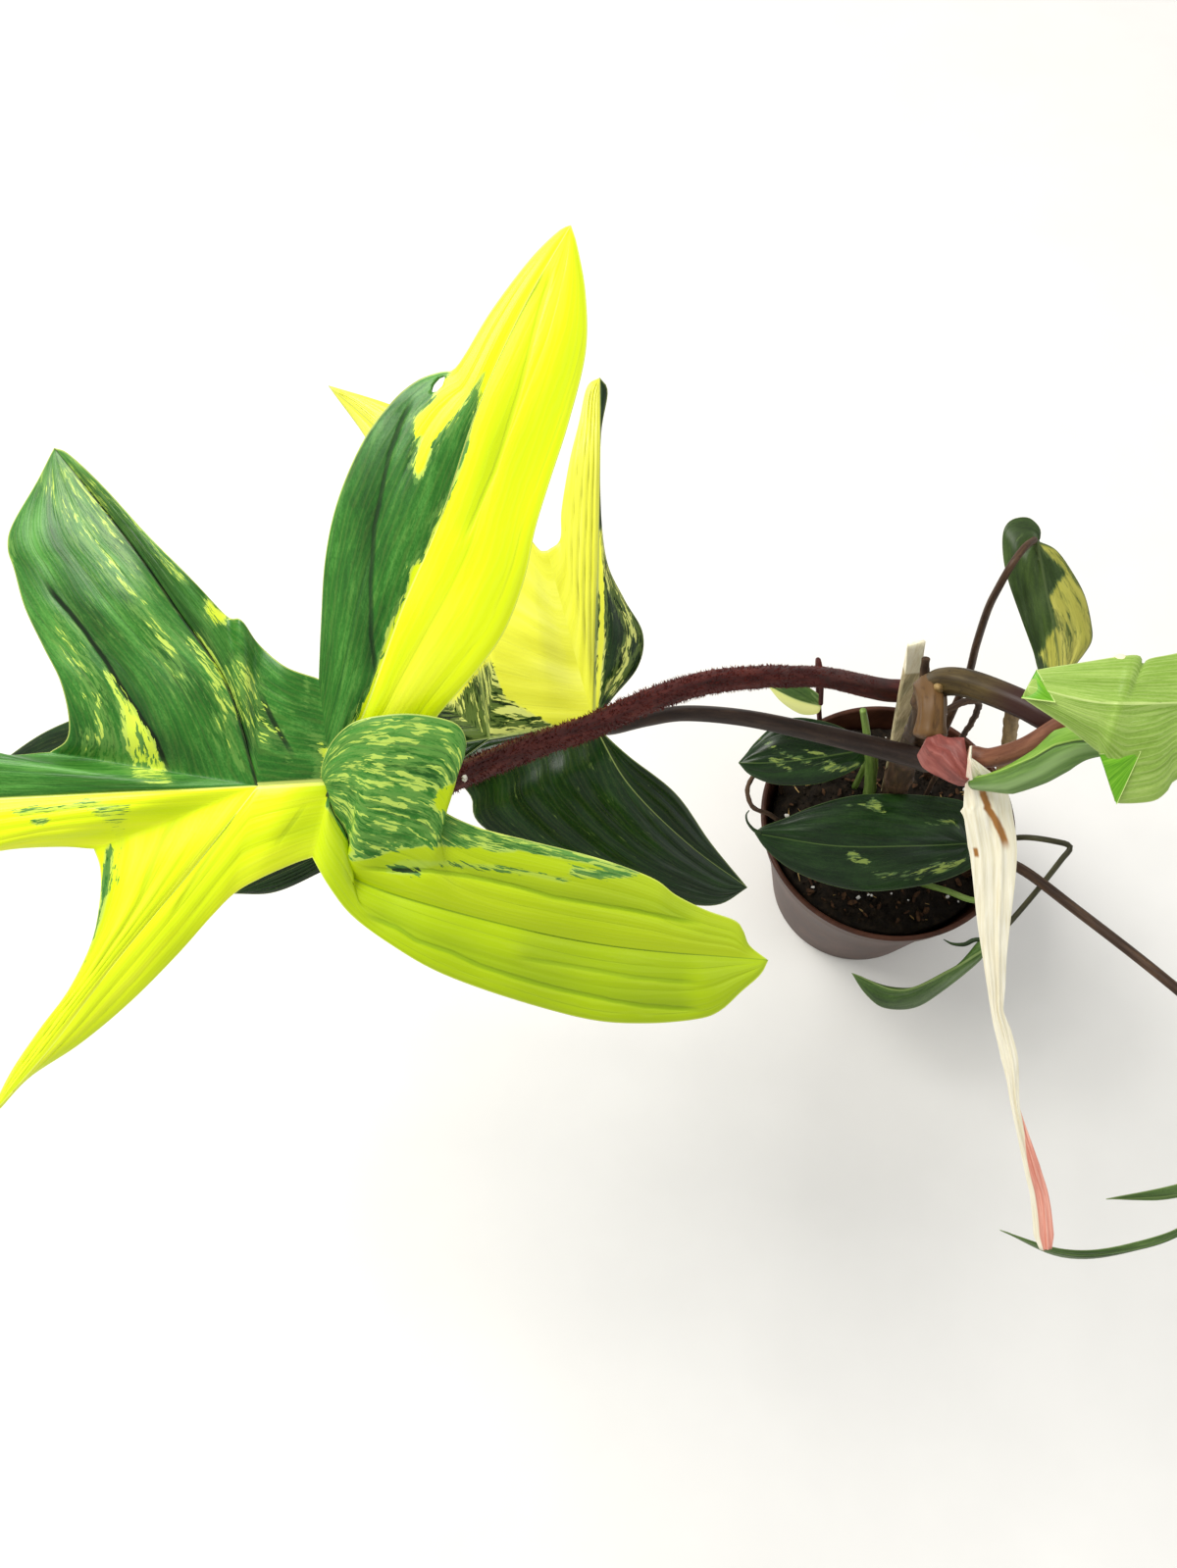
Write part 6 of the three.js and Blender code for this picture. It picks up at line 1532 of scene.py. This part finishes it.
def fuzz(name, spec, count, length, finish, seed, shares):
    """Short tapering hairs that stand out from a stalk, between two shares of it, and lean along it."""
    rng = np.random.default_rng(seed)
    share = np.sort(rng.uniform(*shares, count))
    grid = np.linspace(0, 1, 400)
    centre, along, sideways, towards = carried(spec["route"], grid)

    def at(values):
        return np.stack([np.interp(share, grid, column) for column in values.T], 1)

    angle = rng.uniform(0, 2 * np.pi, count)[:, None]
    widths = np.array(spec["widths"])
    radius = np.interp(share, np.linspace(0, 1, len(widths)), widths / 2)[:, None]
    out = unit(at(sideways) * np.cos(angle) + at(towards) * np.sin(angle))
    axis = unit(at(along))
    root = at(centre) + out * (radius - 0.1)
    grown = rng.uniform(*length, (count, 1)) * (0.35 + 0.65 * ease((share - 0.2) / 0.3))[:, None]
    tip = root + (out + axis * rng.uniform(-0.5, 0.9, (count, 1))) * grown
    wide = np.cross(out, axis) * 0.2
    points = np.stack([root + wide, root - wide * 0.5 + axis * 0.17, root - wide * 0.5 - axis * 0.17, tip], 1)
    faces = np.array([[0, 1, 3], [1, 2, 3], [2, 0, 3], [0, 2, 1]]) + 4 * np.arange(count)[:, None, None]
    skin = np.zeros((4 * count, 3))
    skin[:, 0] = np.repeat(share * 300, 4)
    piece(name, points.reshape(-1, 3), [faces.reshape(-1, 3)], finish, flat=(0,),
          point={"skin": skin, "share": np.repeat(share, 4)})


fuzz("petiole_hairs", FRONT_PETIOLE, 6200, (0.5, 1.35), hair_finish, 21, shares=(0.16, 1))


# Blades in place

FRONT_BOARD = Board([-201.4, -77.7, 371.3])
REAR_BOARD = Board([-137.3, -30.7, 293.4])
NEW_BOARD = Board([59.5, -59.5, 333.5])
RIGHT_BOARD = Board([140, -16, 327], [0.93, 0.05, -0.36], [-0.05, 1, 0.25])
LOW_BOARD = Board([110, -154, 176], [0.97, 0.24, 0], [-0.05, 0.2, 0.98])
UPRIGHT_BOARD = Board([33.5, 49, 252.5])
POT_BOARD = Board([25.5, -27, 132])
BACK_BOARD = Board([-19, 14.5, 150])
SMALL_BOARD = Board([-39, 25, 176])
KNEE_BOARD = Board([22.5, -74, 128.5])

# For each half-lobe its tone, the drift of its side veins to the tip, the width of its pleats and its share
# of lime; for each rib how strongly it is drawn, pale above 0, and dark below 0 as painted crease shade
FRONT_LEAF.update(
    creases=FRONT_CREASES,
    tones=[-8, 9, -8, -8, 9, 14, 10, 14, 12, 9],
    drifts=[0.3, 0.3, 0.5, 0.35, 0.2, 0.25, 0.3, 0.3, 0.1, 0.1],
    pleats=[12, 9, 14, 10, 13, 11, 9, 9, 7, 9],
    limes=[0.2, 0.15, 0, 0, 0, 0.1, 0.2, 0.25, 1, 0.88],
    shown={"upper": -0.9, "crown": 0.2, "lower": 0.25, "skirt": -0.4},
)
REAR_LEAF.update(tones=[-11, -12, 10, 10, 12, -8, -12, -12, -12, -12],
                 shown={"end": 0.5, "lower": 0.3, "skirt": 0.12})
RIGHT_LEAF = mirrored(REAR_LEAF, 0.92, 9)
RIGHT_LEAF.update(tones=[-9, -10, -8, -7, -6, -7, -10, -9, -8, -10])
LOW_LEAF.update(tones=[-12] * 10)
NEW_LEAF.update(creases=NEW_CREASES, tones=[-9, -9], pleats=[3.1, 2.7], shown={"midrib": 0.3})
SMALL_LEAF.update(tones=[4, -3])
for leaf in (POT_LEAF, BACK_LEAF, SMALL_LEAF):
    leaf.update(shown={"midrib": 0.45})

blade("blade_front", FRONT_BOARD, FRONT_LEAF, front_finish, marks=FRONT_MARKS,
      hole=([25.5, 94.5], [2.4, 1.1], 55), columns=42, depth=0.3)
blade("blade_rear", REAR_BOARD, REAR_LEAF, rear_finish, seed=2, marks=REAR_MARKS)
blade("blade_right", RIGHT_BOARD, RIGHT_LEAF, rear_finish, rows=6, seed=3)
blade("blade_low", LOW_BOARD, LOW_LEAF, knee_finish, rows=6, columns=20, seed=4)
blade("blade_new", NEW_BOARD, NEW_LEAF, new_finish, rows=5, seed=5, wave=0.3, depth=0.16,
      columns=40)
blade("blade_upright", UPRIGHT_BOARD, UPRIGHT_LEAF, upright_finish, rows=6, seed=6,
      marks=UPRIGHT_MARKS)
blade("blade_pot", POT_BOARD, POT_LEAF, green_finish, rows=10, seed=7, marks=POT_MARKS)
blade("blade_back", BACK_BOARD, BACK_LEAF, green_finish, seed=8, marks=BACK_MARKS)
blade("blade_small", SMALL_BOARD, SMALL_LEAF, small_finish, columns=16, seed=9)
blade("blade_knee", KNEE_BOARD, KNEE_LEAF, knee_finish, seed=10)


# Small extras: placed on the boards of the leaves they belong to, or on the stem and the front petiole

def folded_corner(name, board, corners, finish):
    """A corner of the blade turned over: a three-sided flap that runs from its rounded fold (the first two
    corners) to its loose tip (the third), slightly hollow, with two thin sides."""
    rows, half_thick = 25, 0.22
    start, end, tip = board.place(np.array(corners, float))
    v, u = np.meshgrid(np.linspace(0, 1, rows), np.linspace(0, 1, rows), indexing="ij")
    fold = start + (end - start) * v[..., None]
    grid = fold + (tip - fold) * u[..., None]
    towards = board.towards(grid)
    bow = 0.9 * np.sin(np.pi * np.clip(u * 1.15, 0, 1)) + 0.5 * np.cos(v * 9) * u * (1 - u)
    grid = grid + towards * (bow * np.sin(np.pi * np.clip(v, 0.08, 0.92)) ** 0.5)[..., None]
    a = (np.arange(rows - 1)[:, None] * rows + np.arange(rows - 1)).ravel()
    quads = np.stack([a, a + rows, a + rows + 1, a + 1], 1)
    total = rows * rows
    ring = np.concatenate([np.arange(rows), np.arange(1, rows) * rows + rows - 1,
                           total - rows + np.arange(rows - 2, -1, -1), np.arange(rows - 2, 0, -1) * rows])
    after = np.roll(ring, -1)
    side = np.stack([ring, after, after + total, ring + total], 1)
    if np.cross(end - start, tip - start) @ towards[0, 0] > 0:
        quads = quads[:, ::-1]
    else:
        side = side[:, ::-1]
    flat = grid.reshape(-1, 3)
    lift = towards.reshape(-1, 3) * half_thick
    away = np.minimum(np.minimum(v, 1 - v) * np.linalg.norm(end - start) * (1 - u), (1 - u) * 9 + 0.3)
    skin = np.stack([v * 14, u * 9, 0 * u], -1).reshape(-1, 3)
    return piece(name, np.vstack([flat + lift, flat - lift]), [quads, quads[:, ::-1] + total, side], finish,
                 point={"rim": np.tile(away.ravel(), 2), "skin": np.tile(skin, (2, 1))})


def small_stalk(name, points, widths, finish, sides=16):
    """A short stalk with close rings, which replaces no node of the frame."""
    stalk(name, {"route": np.asarray(points, float).tolist(), "widths": widths}, finish, sides=sides,
          pitch=0.5)


def towards_eye(place, *heights):
    """Points over a place at the given heights above it, on the line to the eye."""
    return [place + unit(EYE - place) * h for h in heights]


for k, corners in enumerate(NEW_LEAF_FOLDS, 1):
    folded_corner(f"turned_corner_{k}", NEW_BOARD, corners, corner_finish)
small_stalk("drip_tip", POT_BOARD.place([[-93, 4.6, -6], [-96, 6.2, -6.2], [-98.6, 9.4, -6.6],
                                         [-99.2, 12.6, -7], [-98, 14.6, -7.4]]),
            [2.4, 1.6, 1.2, 0.9, 0.5], tip_finish)
small_stalk("thin_lobe", KNEE_BOARD.place([[0.5, 0.5, -1], [-1, 4, -2], [-4.5, 4, -3], [-8.5, 2.2, -3.5],
                                           [-13.5, 2.4, -3.8], [-17.4, 4.3, -4]]),
            [2.2, 1.8, 2, 1.8, 1.2, 0.4], tip_finish)
small_stalk("cream_roll", NEW_BOARD.place([[-57, 7, -3.4], [-53.4, 8.2, -3.4], [-49.2, 7.4, -3.4]]),
            [1.4, 4.6, 1.6], cream_finish)
KNOB = np.array([-19, -16, 267.6])
DROP = np.array([-172.0, -71.1, 354.3]) - SIGHT_UP * 1.1
small_stalk("stem_knob", towards_eye(KNOB, -1.6, -0.2, 1.3, 2), [4.2, 3.8, 2.8, 1.4], knob_finish,
            sides=24)
small_stalk("petiole_drop", towards_eye(DROP, 0.2, 1.1, 2), [1.7, 2.3, 1.1], drop_finish)


# Floor, light and camera

FLOOR_REACH = 4
floor_mesh = bpy.data.meshes.new("floor")
floor_corners = [(x * FLOOR_REACH, y * FLOOR_REACH, 0) for x, y in ((-1, -1), (1, -1), (1, 1), (-1, 1))]
floor_mesh.from_pydata(floor_corners, [], [(0, 1, 2, 3)])
floor_mesh.materials.append(plain_finish("pale_floor", (232, 231, 228), (236, 235, 232), (240, 239, 236), 3,
                                         0.8, 0.02))
floor = bpy.data.objects.new("floor", floor_mesh)
bpy.context.scene.collection.objects.link(floor)

world = bpy.data.worlds.new("studio")
world.use_nodes = True
sky = world.node_tree.nodes["Background"].inputs
sky["Color"].default_value, sky["Strength"].default_value = (1.0, 0.99, 0.97, 1), 0.68
bpy.context.scene.world = world


def standing(thing, right, up, back, place):
    """Puts a light or a camera at place, in metres: it looks away from back."""
    made = bpy.data.objects.new(thing.name, thing)
    pose = np.eye(4)
    pose[:3] = np.stack([right, up, back, place], 1)
    made.matrix_world = Matrix(pose.tolist())
    bpy.context.scene.collection.objects.link(made)
    return made


def softbox(name, place, aim, size, power, color):
    """A square light at place that faces aim."""
    light = bpy.data.lights.new(name, "AREA")
    light.shape, light.size, light.energy, light.color = "SQUARE", size, power, color
    back = unit(np.array(place) - np.array(aim))
    side = unit(np.cross([0.1, 1, 0.2], back))
    standing(light, side, np.cross(back, side), back, place)


softbox("key", (-0.9, 0.5, 1.5), (-0.1, 0, 0.2), 0.8, 26, (1, 0.98, 0.94))
softbox("fill", (1.2, -0.6, 1.3), (0, 0, 0.2), 1.2, 5, (0.94, 0.97, 1))

lens = bpy.data.cameras.new("camera")
lens.lens, lens.sensor_width, lens.clip_start = 27, 36, 0.01
bpy.context.scene.camera = standing(lens, SIGHT_RIGHT, SIGHT_UP, np.cross(SIGHT_RIGHT, SIGHT_UP), EYE * MM)
bpy.context.scene.view_settings.view_transform = "Standard"
